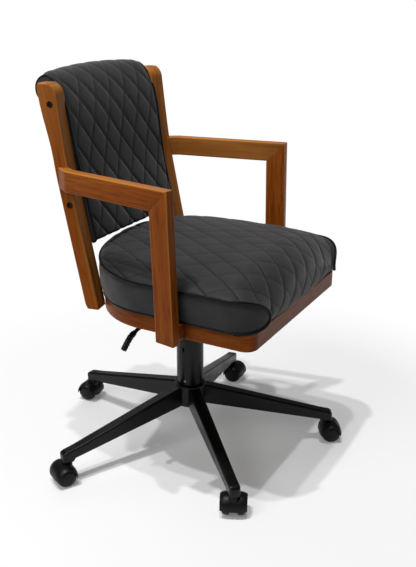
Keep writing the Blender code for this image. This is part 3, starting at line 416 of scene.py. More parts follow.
# %% [markdown]
# ## Bars with eased edges
#
# Posts, arms, stiles and rails are planed bars: a rectangle with its four edges eased by a couple of
# millimetres, carried along a path. The section is written once in corner signs and arc directions, so
# that its size may change along the path. Each end is a plane, square or mitred: the ring of points slides
# along the bar until it lies in the plane, and three smaller rings before it round the arris.

# %% A bar along a path
def section(arc=4):
    """Columns of a rounded rectangle: corner signs, arc directions and how near each is to an edge."""
    angles = np.linspace(0, np.pi / 2, arc + 1)
    flats = np.array([0.86, 0.4, -0.4, -0.86])
    runs = []
    for quarter, (a, b) in enumerate(((1, 1), (-1, 1), (-1, -1), (1, -1))):
        turn = angles + quarter * np.pi / 2
        runs.append(np.broadcast_arrays(a, b, np.cos(turn), np.sin(turn), np.sin(2 * angles)))
        flat = (a, b * flats, a, 0, 0) if quarter % 2 else (a * flats, b, 0, b, 0)
        runs.append(np.broadcast_arrays(*flat))
    return np.concatenate(runs, axis=1).astype(float)


SECTION = section()


def bar(path, a_axis, b_axis, half_a, half_b, radius, ends, offset=0.0):
    """Grid p = path + a A + b B, where (a, b) runs round a rounded rectangle of half sizes half_a and half_b.
    ends gives (point, outward normal, easing) for the first and last row. Also the grain (distance along the
    bar, a, b), moved by the offset so that no two bars look alike, and the nearness to an edge."""
    sa, sb, ca, cb, near = SECTION
    path = np.asarray(path, float)
    rows = len(path)
    a_axis, b_axis = np.broadcast_to(a_axis, (rows, 3)), np.broadcast_to(b_axis, (rows, 3))
    half_a, half_b = np.broadcast_to(half_a, rows), np.broadcast_to(half_b, rows)
    run = run_along(path)
    layers = []

    def ring(row, inset):
        corner = max(radius - inset, 0.1 * radius)
        a = sa * (half_a[row] - inset - corner) + ca * corner
        b = sb * (half_b[row] - inset - corner) + cb * corner
        return path[row] + a[:, None] * a_axis[row] + b[:, None] * b_axis[row], a, b

    def keep(points, along, a, b, edge):
        grain = np.stack([along + offset, a + offset, b + 0.37 * offset], axis=-1)
        layers.append((points, grain, edge))

    def cut(row, toward, end):
        point, normal, ease = (np.asarray(v, float) for v in end)
        for lift in np.radians((90, 60, 30, 0)):
            points, a, b = ring(row, ease * (1 - math.cos(lift)))
            plane = point - normal * ease * (1 - math.sin(lift))
            slide = ((plane - points) @ normal) / (toward @ normal)
            yield points + slide[:, None] * toward, slide, a, b, np.maximum(near, math.sin(2 * lift))

    for points, slide, a, b, edge in cut(0, unit(path[0] - path[1]), ends[0]):
        keep(points, -slide, a, b, edge)
    for row in range(rows):
        points, a, b = ring(row, 0.0)
        keep(points, run[row] + 0 * a, a, b, near)
    for points, slide, a, b, edge in reversed(list(cut(rows - 1, unit(path[-1] - path[-2]), ends[1]))):
        keep(points, run[-1] + slide, a, b, edge)
    grid, grain, edge = (np.array(layer) for layer in zip(*layers))
    return grid, {"grain": grain.reshape(-1, 3), "edge": edge.ravel()}


print("columns in a bar's section:", len(SECTION[0]))

# %% [markdown]
# ## Arms and posts
#
# Each arm is a flat bar that splays out to the front and bends inwards on to the stile. At the front it is
# mitred on to an upright post. The mitre plane joins the inner and outer corners of the two bars, as a
# frame maker cuts it. The two sides are mirror images, so the left ones are the right ones with x reversed.

# %% Arms, posts and spacer blocks
ARM_TOP, ARM_HEIGHT, ARM_WIDTH, POST_DEPTH, POST_FOOT = 0.6655, 0.043, 0.021, 0.045, 0.3626
ARM_FRONT, ARM_BEND = np.array([-0.266, -0.108, 0.0]), np.array([-0.2205, 0.1525, 0.0])
FOOT_SHIFT = np.array([0.0052, -0.0067, 0.0])
ALONG = unit(ARM_BEND - ARM_FRONT)
INWARD = np.array([ALONG[1], -ALONG[0], 0.0])
DOGLEG, BEND_RADIUS, REAR_LENGTH = math.radians(34.0), 0.018, 0.0375
ALONG_REAR = np.array([math.sin(DOGLEG), math.cos(DOGLEG), 0.0])
INWARD_REAR = np.array([ALONG_REAR[1], -ALONG_REAR[0], 0.0])
MITRE_POINT = ARM_FRONT + UP * ARM_TOP
MITRE = unit(ALONG * ARM_HEIGHT + UP * POST_DEPTH)
WOOD_EASE, MITRE_GAP, MITRE_EASE = 0.0026, 0.00015, 0.0006


def arm_bar():
    """Centre line from the mitre to the bend, an arc of 18 mm radius through it, then on to the stile."""
    corner = ARM_BEND + (INWARD + INWARD_REAR) * ARM_WIDTH / 2 / (1 + INWARD @ INWARD_REAR)
    splay = math.atan2(ALONG[0], ALONG[1])
    reach = BEND_RADIUS * math.tan((DOGLEG - splay) / 2)
    turn = np.linspace(splay, DOGLEG, 9)[:, None]
    middle = corner - ALONG * reach + INWARD * BEND_RADIUS
    arc = middle - BEND_RADIUS * np.concatenate([np.cos(turn), -np.sin(turn), 0 * turn], axis=1)
    first = ARM_FRONT + INWARD * ARM_WIDTH / 2 + ALONG * np.linspace(0.055, 0.20, 6)[:, None]
    last = corner + ALONG_REAR * np.array([[0.016], [0.026]])
    path = np.concatenate([first, arc, last]) + UP * (ARM_TOP - ARM_HEIGHT / 2)
    tangent = unit(np.gradient(path, axis=0))
    across = np.stack([tangent[:, 1], -tangent[:, 0], 0 * tangent[:, 0]], axis=1)
    ends = ((MITRE_POINT + MITRE * MITRE_GAP, -MITRE, MITRE_EASE),
            (ARM_BEND + ALONG_REAR * REAR_LENGTH, ALONG_REAR, 0.001))
    grid, values = bar(path, across, UP, ARM_WIDTH / 2, ARM_HEIGHT / 2, WOOD_EASE, ends, 0.31)
    # painted highlight: the upper face and the inner face are drawn pale where light falls on them
    upper = fade(grid[..., 2].ravel() - ARM_TOP + 0.0022, 0.002)
    inner = fade(((grid - ARM_FRONT) @ INWARD).ravel() - ARM_WIDTH + 0.004, 0.003)
    values["edge"] = np.maximum(values["edge"], 0.75 * np.maximum(upper, inner))
    return grid, values


def post_bar():
    """Nearly upright bar whose foot stands a little further in than its top."""
    z = np.linspace(POST_FOOT + 0.01, ARM_TOP - 0.06, 9)[:, None]
    slope = (ARM_TOP - z) / (ARM_TOP - POST_FOOT)
    path = ARM_FRONT + FOOT_SHIFT * slope + INWARD * ARM_WIDTH / 2 + ALONG * POST_DEPTH / 2 + UP * z
    ends = ((UP * POST_FOOT, -UP, 0.002), (MITRE_POINT - MITRE * MITRE_GAP, MITRE, MITRE_EASE))
    return bar(path, INWARD, ALONG, ARM_WIDTH / 2, POST_DEPTH / 2, WOOD_EASE, ends, 0.77)


def spacer_bar():
    """Short block that fills the space between the seat rail and the post's foot."""
    path = np.linspace([-0.2460, -0.0947, 0.383], [-0.2190, -0.0947, 0.383], 4)
    ends = (([-0.2488, 0, 0], [-1.0, 0, 0], 0.001), ([-0.2172, 0, 0], [1.0, 0, 0], 0.001))
    return bar(path, (0, 1.0, 0), UP, 0.019, 0.017, 0.0018, ends, 1.13)


for part, (grid, values) in (("arm_rail", arm_bar()), ("arm_post", post_bar()), ("arm_spacer", spacer_bar())):
    for side, sign in SIDES:
        points = sided(grid, sign)
        piece(f"{part}_{side}_wood", [shell(points)], WOOD, "seat", [f"{part}_{side}"], values)
print("arm length in mm:", round(1000 * float(np.linalg.norm(ARM_BEND - ARM_FRONT))))

# %% [markdown]
# ## Stiles
#
# The two back posts lean back, stand more upright above the arms, grow deeper towards the top and end in
# a soft round. They are turned a little to follow the curve of the back.

# %% Shape of the stiles
STILE_X, STILE_TURN, STILE_WIDTH = -0.1945, math.radians(11.0), 0.037
STILE_BOTTOM, STILE_TOP, KNEE_Z, KNEE_Y = 0.373, 0.827, 0.659, 0.1628
ACROSS = np.array([math.cos(STILE_TURN), math.sin(STILE_TURN), 0.0])
BACKWARD = np.array([-ACROSS[1], ACROSS[0], 0.0])
TOP_ROUND, BOTTOM_ROUND, BOLT_HEIGHTS = 0.022, 0.010, (0.590, 0.7866)


def lean(z):
    """Distance back of the stiles' front faces: two slopes, 0.210 and 0.115, that join softly at the knee."""
    step = np.asarray(z) - KNEE_Z
    return KNEE_Y + 0.1625 * step - 0.0475 * (np.hypot(step, 0.040) - 0.040)


def stile_depth(z):
    """Depth of 29 mm that grows smoothly to 40 mm near the top."""
    start = KNEE_Z + 0.022
    return 0.029 + 0.011 * fade(z - start, STILE_TOP - 0.020 - start)


def drawn_in(radius, distance):
    """How far a rounded end draws in at a distance from it: r - sqrt(r^2 - (r - d)^2)."""
    gap = np.clip(radius - distance, 0, radius)
    return radius - np.sqrt(np.maximum(radius ** 2 - gap ** 2, 0))


def on_stile(across, back, z):
    """Point on the right stile: across from its outer face and back from its front face."""
    start = np.stack([STILE_X + 0 * z, lean(z), z], -1)
    return start + np.multiply.outer(across, ACROSS) + np.multiply.outer(back, BACKWARD)


def stile_bar():
    """Rows up the stile, closer at its ends, where front and rear draw in to round it."""
    low = STILE_BOTTOM + np.array([0.004, 0.007, 0.011])
    high = STILE_TOP - np.array([0.024, 0.020, 0.016, 0.0125, 0.0095, 0.007, 0.005, 0.0036, 0.0026])
    z = np.concatenate([low, np.linspace(0.40, 0.795, 34), high])
    foot = drawn_in(BOTTOM_ROUND, z - STILE_BOTTOM)
    front = drawn_in(TOP_ROUND, STILE_TOP - z) + foot * 0.5
    rear = stile_depth(z) - drawn_in(0.009, STILE_TOP - z) - foot
    path = on_stile(STILE_WIDTH / 2 + 0 * z, (front + rear) / 2, z)
    ends = ((UP * STILE_BOTTOM, -UP, 0.002), (UP * STILE_TOP, UP, 0.0026))
    return bar(path, ACROSS, BACKWARD, STILE_WIDTH / 2, (rear - front) / 2, 0.0030, ends)[0]


def bolt_hole(z):
    """Round bar along the bolt: 14 mm across, sunk 9 mm into the outer face of the stile."""
    ring = turned([(0.0, -0.010), (0.0070, -0.010), (0.0070, 0.0090), (0.0, 0.0090)], 40)
    start = on_stile(0.0, 0.42 * stile_depth(z), np.float64(z))
    return start + ring[..., :1] * BACKWARD + ring[..., 1:2] * UP + ring[..., 2:] * ACROSS


stile_points = stile_bar()
print("stile rows:", len(stile_points))

# %% [markdown]
# ## Bolt recesses and grain
#
# Each stile has two bolt recesses in its outer face. A recess is a true hole, so a Boolean cuts it, as a
# drill does. A cut makes new points, so the grain and the paler edges and faces, partly rubbed wear and
# partly painted highlight, are worked out afterwards from each point's place.

# %% Cutting and grain of the stiles
def bored(obj, holes):
    """The object with the closed grids of the holes cut out of it."""
    cutters = [linked("cutter", mesh_of("cutter", [shell(hole, True, False)], {})) for hole in holes]
    for cutter in cutters:
        cut = obj.modifiers.new("bore", "BOOLEAN")
        cut.solver = "EXACT"
        cut.object = cutter
    graph = bpy.context.evaluated_depsgraph_get()
    mesh = bpy.data.meshes.new_from_object(obj.evaluated_get(graph))
    obj.modifiers.clear()
    obj.data = mesh
    for cutter in cutters:
        bpy.data.objects.remove(cutter, do_unlink=True)
    smoothed(mesh)


def stile_grain(mesh, sign):
    """Grain (height, across, back) of each point from its place, and how pale the stain is drawn: rubbed thin
    at the long edges and the rim of the top, a painted highlight on the front face where light falls, and a
    little paler over the upper part."""
    place = np.empty(len(mesh.vertices) * 3, np.float32)
    mesh.vertices.foreach_get("co", place)
    x, y, z = sided(place.reshape(-1, 3), sign).T
    offset = np.stack([x - STILE_X, y - lean(z), 0 * z], -1)
    across, back = offset @ ACROSS, offset @ BACKWARD
    front = drawn_in(TOP_ROUND, STILE_TOP - z)
    side_gap = np.minimum(np.abs(across), np.abs(STILE_WIDTH - across))
    face_gap = np.minimum(np.abs(back - front), np.abs(stile_depth(z) - back))
    edges = (np.exp(-(side_gap ** 2 + face_gap ** 2) / (2 * 0.0016 ** 2)),
             0.8 * np.exp(-((STILE_TOP - z) / 0.004) ** 2) * (side_gap < 0.003),
             # painted highlight: the front face is drawn pale where light falls on it
             0.85 * np.exp(-((back - front) / 0.004) ** 2),
             # paler over the upper part, from 0.66 m up
             0.45 * np.clip((z - 0.66) / 0.12, 0, 1))
    grain = np.stack([z * 1.02, across + 1.9 * sign, back], axis=-1)
    store(mesh, {"grain": grain, "edge": np.max(edges, axis=0)})


for side, sign in SIDES:
    points = sided(stile_points, sign)
    stile = piece(f"stile_{side}_wood", [shell(points)], WOOD, "seat", [f"stile_{side}"])
    bored(stile, [sided(bolt_hole(z), sign) for z in BOLT_HEIGHTS])
    stile_grain(stile.data, sign)
print("stile points:", len(stile.data.vertices))

# %% [markdown]
# ## Seat rail
#
# The seat stands in a wooden hoop of two pieces: a front rail with rounded corners, and a bent rail round
# the sides and back, half an ellipse behind. Both are the same bar carried along a plan curve, and the
# grain follows the bend, as in laminated wood. The joint between them shows as a fine line.

# %% Seat rails
RAIL_BOTTOM, RAIL_HEIGHT, RAIL_THICKNESS, RAIL_JOINT = 0.364, 0.037, 0.022, -0.212
RAIL_HALF, RAIL_FRONT, RAIL_CORNER, RAIL_CURVE_Y, RAIL_DEPTH = 0.206, -0.248, 0.015, -0.010, 0.169
CORNER_POINTS = 40


def both_halves(curve):
    """Half a plan curve, from its right end to the middle, and its mirror image back out to the left."""
    return np.concatenate([curve, (curve * [-1, 1])[-2::-1]])


def hoop_curve():
    """Middle of the rail in plan from the right front corner round the back: a quarter circle, a straight
    side, then x = half sin a, y = depth cos a behind the widest place, and the same mirrored."""
    turn = np.linspace(np.pi / 2, 0, CORNER_POINTS)
    arc = np.stack([RAIL_CORNER - RAIL_HALF - RAIL_CORNER * np.cos(turn),
                    RAIL_FRONT + RAIL_CORNER - RAIL_CORNER * np.sin(turn)], -1)
    y = np.linspace(RAIL_FRONT + RAIL_CORNER, RAIL_CURVE_Y, 22)[1:-1]
    side = np.stack([np.full(len(y), -RAIL_HALF), y], -1)
    sweep = np.linspace(-np.pi / 2, 0, 160)
    rear = np.stack([RAIL_HALF * np.sin(sweep), RAIL_CURVE_Y + RAIL_DEPTH * np.cos(sweep)], -1)
    return both_halves(np.concatenate([arc, side, rear]))


def outward_of(curve):
    """Unit normals in plan that point away from the seat's middle, for a curve that runs clockwise."""
    tangent = unit(np.gradient(curve[:, :2], axis=0))
    return np.stack([-tangent[:, 1], tangent[:, 0], 0 * tangent[:, 0]], -1)


hoop = hoop_curve()
bent = even(hoop[hoop[:, 1] > RAIL_JOINT + 0.006], 0.006)
front_half = np.concatenate([[[-RAIL_HALF, RAIL_JOINT - 0.006]], hoop[:CORNER_POINTS][::-1],
                             [[0.0, RAIL_FRONT]]])
front = both_halves(even(front_half, 0.003))
for name, curve, facing, gap, offset in (("seat_rail_back", bent, 1.0, 0.0002, 2.3),
                                         ("seat_rail_front", front, -1.0, -0.0001, 3.1)):
    path = np.column_stack([curve, np.full(len(curve), RAIL_BOTTOM + RAIL_HEIGHT / 2)])
    end = ([0, RAIL_JOINT + gap, 0], [0, -facing, 0], 0.0007)
    grid, values = bar(path, outward_of(path), UP, RAIL_THICKNESS / 2, RAIL_HEIGHT / 2, WOOD_EASE, (end, end),
                       offset)
    piece(f"{name}_wood", [shell(grid)], WOOD, "seat", [name], values)
print("bent rail, points along it:", len(bent))

# %% [markdown]
# ## Seat cushion
#
# A boxed cushion: a plain side band, a crowned quilted top that runs over the front edge like a waterfall,
# and piping in the seam between them. The band ends at the front in a round nose, and the seam follows it
# down and back under. The top is one surface of two parameters: across, x = X sin t, so that points crowd
# where the crown drops to the seam; along, each row joins the middle line C(v) to the seam line B(v).

# %% Shape of the seat cushion
CUSHION_BOTTOM, CUSHION_BAND, CUSHION_HALF, CUSHION_CORNER = 0.4015, 0.064, 0.2295, 0.075
CUSHION_FRONT, CUSHION_CURVE_Y, CUSHION_DEPTH, CUSHION_RISE = -0.272, -0.017, 0.1815, 0.0165
CUSHION_CROWN, FULLNESS, NOSE_DEPTH, TUCK_DEPTH = 0.0410, 2.15, 0.080, 0.013
CUSHION_EDGE = CUSHION_BOTTOM + CUSHION_BAND
CROWN_ROWS, NOSE_ROWS = 150, 66


def round_corner(angle):
    """Plan position on the right front corner, for an angle from the side (0) to the front (90 degrees)."""
    middle = CUSHION_FRONT + CUSHION_CORNER
    return np.stack([-(CUSHION_HALF - CUSHION_CORNER) - CUSHION_CORNER * np.cos(angle),
                     middle - CUSHION_CORNER * np.sin(angle)], -1)


def seam_line():
    """Right-hand seam from the widest place forward, then round the band's nose: the place on the corner goes
    out with cos b and the height falls with ((1 + sin b) / 2)^1.35, b from 90 to -90 degrees."""
    start, tip = math.radians(20), math.radians(80)
    side = [[-CUSHION_HALF, CUSHION_CURVE_Y]]
    ground = even(np.concatenate([side, round_corner(np.linspace(0, start, 60))]), count=CROWN_ROWS)
    upper = np.column_stack([ground, np.full(CROWN_ROWS, CUSHION_EDGE)])
    b = np.pi / 2 - np.pi * np.arange(1, NOSE_ROWS + 1) / NOSE_ROWS
    height = CUSHION_BOTTOM + CUSHION_BAND * ((1 + np.sin(b)) / 2) ** 1.35
    nose = np.column_stack([round_corner(start + (tip - start) * np.cos(b)), height])
    return np.concatenate([upper, nose])


def middle_line():
    """Middle of the top from the rear seam forward: the crown, a quarter ellipse down the nose, the tuck."""
    y = CUSHION_CURVE_Y + CUSHION_DEPTH * np.cos(np.linspace(0, np.pi / 2, 160))
    y = np.concatenate([y, np.linspace(CUSHION_CURVE_Y, CUSHION_FRONT + NOSE_DEPTH, 120)[1:]])
    run = np.clip((y - CUSHION_CURVE_Y) / CUSHION_DEPTH, 0, 1)
    z = CUSHION_EDGE + CUSHION_RISE * run ** 2 + CUSHION_CROWN * np.sqrt(np.maximum(1 - run ** 2, 0))
    low = CUSHION_BAND * 0.62
    nose_z = CUSHION_BOTTOM + low
    turn = np.linspace(np.pi / 2, np.pi, 60)
    nose = np.stack([y[-1] + NOSE_DEPTH * np.cos(turn), nose_z + (z[-1] - nose_z) * np.sin(turn)], -1)
    turn = np.linspace(np.pi, 1.5 * np.pi, 40)[1:]
    tuck = np.stack([CUSHION_FRONT + TUCK_DEPTH * (1 + np.cos(turn)), nose_z + low * np.sin(turn)], -1)
    crown = even(np.stack([y, z], -1), count=CROWN_ROWS)
    return np.concatenate([crown, even(np.concatenate([nose, tuck]), count=NOSE_ROWS + 1)[1:]])


def cushion_top(columns=193):
    """P(t, v): x = X sin t, y = C + (B - C) g, z = B + (C - B) h, where g = 1 - (1 - |sin t|^n)^(1 / n) is
    the plan curve of the rear and h = (1 - |sin t|^2.2)^p is the crown; p grows from 0.58 to 0.85 at the
    front."""
    t = np.linspace(-np.pi / 2, np.pi / 2, columns)
    edge, middle = seam_line(), middle_line()
    s = np.abs(np.sin(t))
    g = 1 - np.maximum(1 - s ** FULLNESS, 0) ** (1 / FULLNESS)
    power = 0.58 + 0.27 * np.clip((-0.10 - middle[:, :1]) / 0.12, 0, 1)
    h = np.maximum(1 - s ** 2.2, 0) ** power
    x = -edge[:, :1] * np.sin(t)
    y = middle[:, :1] + (edge[:, 1:2] - middle[:, :1]) * g
    z = edge[:, 2:] + (middle[:, 1:] - edge[:, 2:]) * h
    return np.stack([x, y, z], -1)


top = cushion_top()
print("seat top in mm:", np.round(1000 * np.ptp(top.reshape(-1, 3), axis=0)))

# %% [markdown]
# ## Quilting
#
# Two families of straight seams cross at a slant and leave diamonds about 53 mm wide and 87 mm long. On
# flat leather a seam lies where x / width + length / long, or their difference, is a whole number. Between
# the seams the foam pushes the leather up. Two forms add up: a soft swelling that follows the sine of each
# family, and a narrow groove at the thread that fills out within about 3 mm. The second family is drawn
# less tight than the first, so its grooves are shallower, as the photograph shows.

# %% Diamonds
QUILT_WIDTH, QUILT_LENGTH = 0.053, 0.087


def diamonds(across, length):
    """The two sewing families: a = x / W + l / L and b = x / W - l / L."""
    return across / QUILT_WIDTH + length / QUILT_LENGTH, across / QUILT_WIDTH - length / QUILT_LENGTH


def swelling(a, b, second):
    """From 0 in a seam to 1 in the middle of a diamond: the root of |sin pi a| times |sin pi b|, the latter
    lifted towards 1 where the second family is drawn less tight."""
    return np.sqrt(np.abs(np.sin(np.pi * a)) * (1 - second * (1 - np.abs(np.sin(np.pi * b)))))


def grooves(a, b, second):
    """From 0 in a seam to 1 a few millimetres away: 1 - k e^(-d / 0.06) for each family, multiplied."""
    return np.prod([1 - k * np.exp(-np.abs(f - np.round(f)) / 0.06) for f, k in ((a, 1), (b, second))], 0)


def normals_of(grid):
    """Unit normals of a grid of points, from the cross product of its two slopes."""
    down, over = np.gradient(grid, axis=0), np.gradient(grid, axis=1)
    cross = np.cross(over, down)
    return cross / np.maximum(np.linalg.norm(cross, axis=-1, keepdims=True), 1e-12)


def quilted(grid, facing, a, b, mask, soft, deep, second):
    """Grid raised along its normals by the swelling (soft) and the grooves (deep), both in metres; the second
    family of seams is drawn in by a share of the first."""
    outward = normals_of(grid)
    middle = tuple(n // 2 for n in mask.shape)
    outward *= np.sign(outward[middle] @ np.asarray(facing))
    height = (soft * (swelling(a, b, second) - 0.5) + deep * (grooves(a, b, second) - 0.7)) * mask
    return grid + outward * height[..., None]


length, width = run_along(top, 0), run_along(top, 1)
# a crossing of the seams lies about 94 mm right of the middle and 119 mm in front of the swivel axis
seat_a, seat_b = diamonds(top[..., 0] + 0.0941, length - top[:1, :, 1] - 0.1193)
seat_mask = fade(np.minimum(width, width[:, -1:] - width), 0.014)
seat_mask = seat_mask * fade(length, 0.014) * fade(length[-1:] - length, 0.020)
quilted_top = quilted(top, UP, seat_a, seat_b, seat_mask, 0.0007, 0.0024, 0.45)
print("seat quilting in mm: 0.7 soft, 2.4 in the grooves")

# %% [markdown]
# ## Stuffing the cushion
#
# The top is stuffed: a cloth simulation blows the sheet up with air pressure while its seams and stitches
# are pinned, so that each diamond swells by itself. It runs on every third row and column, which are about
# 6 mm apart, and the movement is capped and spread back over the fine grid.

# %% Cloth simulation of a sheet
CLOTH = {"quality": 5, "mass": 0.3, "use_pressure": True, "uniform_pressure_force": 4.0,
         "vertex_group_mass": "sewn", "bending_stiffness": 2.0}
STUFFING_CAP = 0.0015


def spread(values, at, count):
    """Values known at some rows, drawn straight between them for all rows of a grid."""
    place = np.interp(np.arange(count), at, np.arange(len(at)))
    low = np.minimum(place.astype(int), len(at) - 2)
    share = (place - low).reshape(-1, *[1] * (values.ndim - 1))
    return values[low] * (1 - share) + values[low + 1] * share


def blown_up(name, coarse, facing, held, frames=20):
    """Where the points of a coarse sheet come to rest under air pressure; held is 1 where it is sewn down."""
    mesh = bpy.data.meshes.new(name)
    mesh.from_pydata(coarse.reshape(-1, 3), [], faces_of(shell(coarse, False, False)))
    if np.dot(mesh.polygons[len(mesh.polygons) // 2].normal, facing) < 0:
        mesh.flip_normals()
    sheet = linked(name, mesh)
    pins = sheet.vertex_groups.new(name=CLOTH["vertex_group_mass"])
    for weight in (1.0, 0.75, 0.5, 0.25):
        pins.add(np.nonzero(np.round(4 * held.ravel()) / 4 == weight)[0].tolist(), weight, "REPLACE")
    cloth = sheet.modifiers.new("stuffing", "CLOTH")
    for key, value in CLOTH.items():
        setattr(cloth.settings, key, value)
    cloth.settings.effector_weights.gravity = 0.0
    cloth.collision_settings.use_collision = False
    cloth.point_cache.frame_start, cloth.point_cache.frame_end = 1, frames
    for number in range(1, frames + 1):
        bpy.context.scene.frame_set(number)
    blown = np.empty(coarse.size)
    sheet.evaluated_get(bpy.context.evaluated_depsgraph_get()).data.vertices.foreach_get("co", blown)
    bpy.context.scene.frame_set(1)
    bpy.data.objects.remove(sheet, do_unlink=True)
    return blown.reshape(coarse.shape)


def stuffed(name, grid, facing, a, b, mask, stride=3):
    """Grid blown up by a cloth simulation; the leather is loose in the middle of a diamond and sewn at its
    edge. No point moves further than the cap."""
    loose = np.clip(1.6 * swelling(a, b, 1.0), 0, 1) * np.clip(1.2 * mask, 0, 1)
    rows, columns = (np.unique(np.append(np.arange(0, n, stride), n - 1)) for n in mask.shape)
    pick = np.ix_(rows, columns)
    move = blown_up(name, grid[pick], facing, 1 - loose[pick]) - grid[pick]
    distance = np.linalg.norm(move, axis=-1, keepdims=True)
    print(name, "swells by up to", round(1000 * float(distance.max()), 1), "mm before the cap of",
          1000 * STUFFING_CAP, "mm")
    move *= STUFFING_CAP / np.maximum(distance, STUFFING_CAP)
    move = spread(move, rows, grid.shape[0])
    move = np.swapaxes(spread(np.swapaxes(move, 0, 1), columns, grid.shape[1]), 0, 1)
    return grid + move * loose[..., None]


quilted_top = stuffed("seat_top_sheet", quilted_top, UP, seat_a, seat_b, seat_mask)

# %% [markdown]
# ## Closing the cushion
#
# The band follows the seam and bulges between its two sewn edges. Behind the nose its lower edge lies on the
# rail and draws in a little; at the nose it meets the same seam again, so top and band close point for point.

# %% Seat cushion
MIDDLE = np.array([0.0, -0.05, 0.433])


def band_grid(levels=24):
    """From the upper seam to the lower edge: p + (q - p) w, pushed out by 5 mm sin(pi w) and by creases."""
    nose = NOSE_ROWS // 2
    half = CROWN_ROWS + nose
    upper = np.concatenate([quilted_top[half - 1::-1, 0], quilted_top[0, 1:-1], quilted_top[:half, -1]])
    under = upper * [1, 1, 0] + UP * CUSHION_BOTTOM
    under[:nose + 1] = quilted_top[half - 1:, 0]
    under[-nose - 1:] = quilted_top[half - 1:, -1][::-1]
    facing = unit((upper - MIDDLE) * [1, 1.15, 0])
    along = run_along(upper)
    along = np.minimum(along, along[-1] - along)
    tall = np.linalg.norm(upper - under, axis=1) / CUSHION_BAND
    under = under - facing * (0.0045 * fade(along - 0.075, 0.06))[:, None]
    w = np.linspace(0, 1, levels)[:, None]
    crease = 0.0006 * np.sin(upper[:, 0] * 61 + upper[:, 1] * 83) * np.sin(2 * np.pi * w)
    out = (0.0050 * tall * np.sin(np.pi * w) ** 0.8 + crease * tall)[..., None]
    return upper + (under - upper) * w[..., None] + facing * out


band = band_grid()
sewing = np.stack([seat_a, seat_b, seat_mask], -1).reshape(-1, 3)
quilt = np.concatenate([sewing, np.zeros((band.size // 3, 3))])
sheets = [shell(quilted_top, False, False), shell(band, False, False)]
cushion = piece("seat_cushion_leather", sheets, LEATHER, "seat", ["seat_cushion"],
                {"quilt": quilt}, sharp=180)
cleaned(cushion.data, fill=True)
print("cushion points:", len(cushion.data.vertices))

# %% [markdown]
# ## Back pad
#
# The back is a panel between the stiles: a curved board with a long pad in front that rolls over its top. The
# pad's section is a closed loop: quilted front, a narrow boxing at each side, and a flat rear. The loop is
# carried up the front, round the roll through half a turn, and a little way down behind.

# %% Shape of the back pad
BACK_HALF, BACK_BOTTOM, BACK_TOP, BACK_SET = 0.1570, 0.507, 0.849, 0.0075
ROLL_RADIUS, TOP_PAD, ROLL_DROP, BOARD_GAP = 0.0305, 0.019, 0.0075, 0.0006
ROLL_Z = BACK_TOP - ROLL_RADIUS - TOP_PAD
BACK_UNDER, BEND_Z = ROLL_Z - 0.022, 0.735
BACK_SAG = math.tan(STILE_TURN) * -STILE_X / 2


def back_face(x, z):
    """Curved plane of the panel: lean(z) + sag (1 - (x / 0.1945)^2), set back a little from the stiles."""
    return lean(z) + BACK_SAG * (1 - (x / STILE_X) ** 2) + BACK_SET


def sheet_of(x, y, z):
    """Grid of points from coordinates that may lack rows or columns."""
    return np.stack(np.broadcast_arrays(x, y, z), -1)


def outer_grid(x, s, eased, front_rows, roll_rows, tail_rows):
    """Quilted side of the pad. It is thickest in the middle, by (1 - s^2)^0.5; its edges stand 6 mm proud of
    the stiles below and 2 mm above. From the bend on it draws back by reach (1 - cos a) while it climbs by
    sin a, over the crest and down behind. The roll's ends are eased, and its upper part is a little wider."""
    crest_z = BACK_TOP - ROLL_DROP * s ** 2 - eased
    centre_z = ROLL_Z - ROLL_DROP * s ** 2 + 1.5 * eased
    hub = back_face(x, ROLL_Z) + ROLL_RADIUS - BOARD_GAP
    crest_y, rear_y = hub + 0.008 - 0.3 * eased, hub + ROLL_RADIUS + 0.002 - 0.2 * eased
    f = np.linspace(0, 1, front_rows)[:, None]
    z = BACK_BOTTOM + (BEND_Z - BACK_BOTTOM) * f + 0 * x
    tuck = 0.35 + 0.65 * np.sqrt(1 - (1 - np.clip(f / 0.045, 0, 1)) ** 2)
    thick = 0.0135 - 0.004 * f + (0.018 - 0.005 * f) * np.sqrt(1 - s ** 2)
    front = sheet_of(x, back_face(x, z) - thick * tuck, z)
    turn = np.linspace(0, np.pi / 2, roll_rows // 2 + 1)[1:, None]
    z = BEND_Z + (crest_z - BEND_Z) * np.sin(turn)
    reach = crest_y - back_face(x, crest_z) + thick[-1]
    climbing = sheet_of(x, back_face(x, z) - thick[-1] + reach * (1 - np.cos(turn)), z)
    turn = turn + np.pi / 2
    falling = sheet_of(x, crest_y - (rear_y - crest_y) * np.cos(turn),
                       centre_z + (crest_z - centre_z) * np.sin(turn))
    t = np.linspace(0, 1, tail_rows + 1)[1:, None]
    tail = sheet_of(x, rear_y - (0.007 + 2.5 * eased) * t ** 2,
                    centre_z + (BACK_UNDER + 0.003 - centre_z) * t)
    outer = np.concatenate([front, climbing, falling, tail])
    rows = np.arange(len(outer))
    share = np.where(rows < front_rows, np.clip((outer[:, 0, 2] - 0.600) / 0.140, 0, 1), 1.0)
    share = share * np.clip(1 - (rows - front_rows - 0.75 * roll_rows) / (roll_rows // 2), 0, 1)
    outer[..., 0] *= 1 + 0.045 * fade(share, 1.0)[:, None]
    return outer


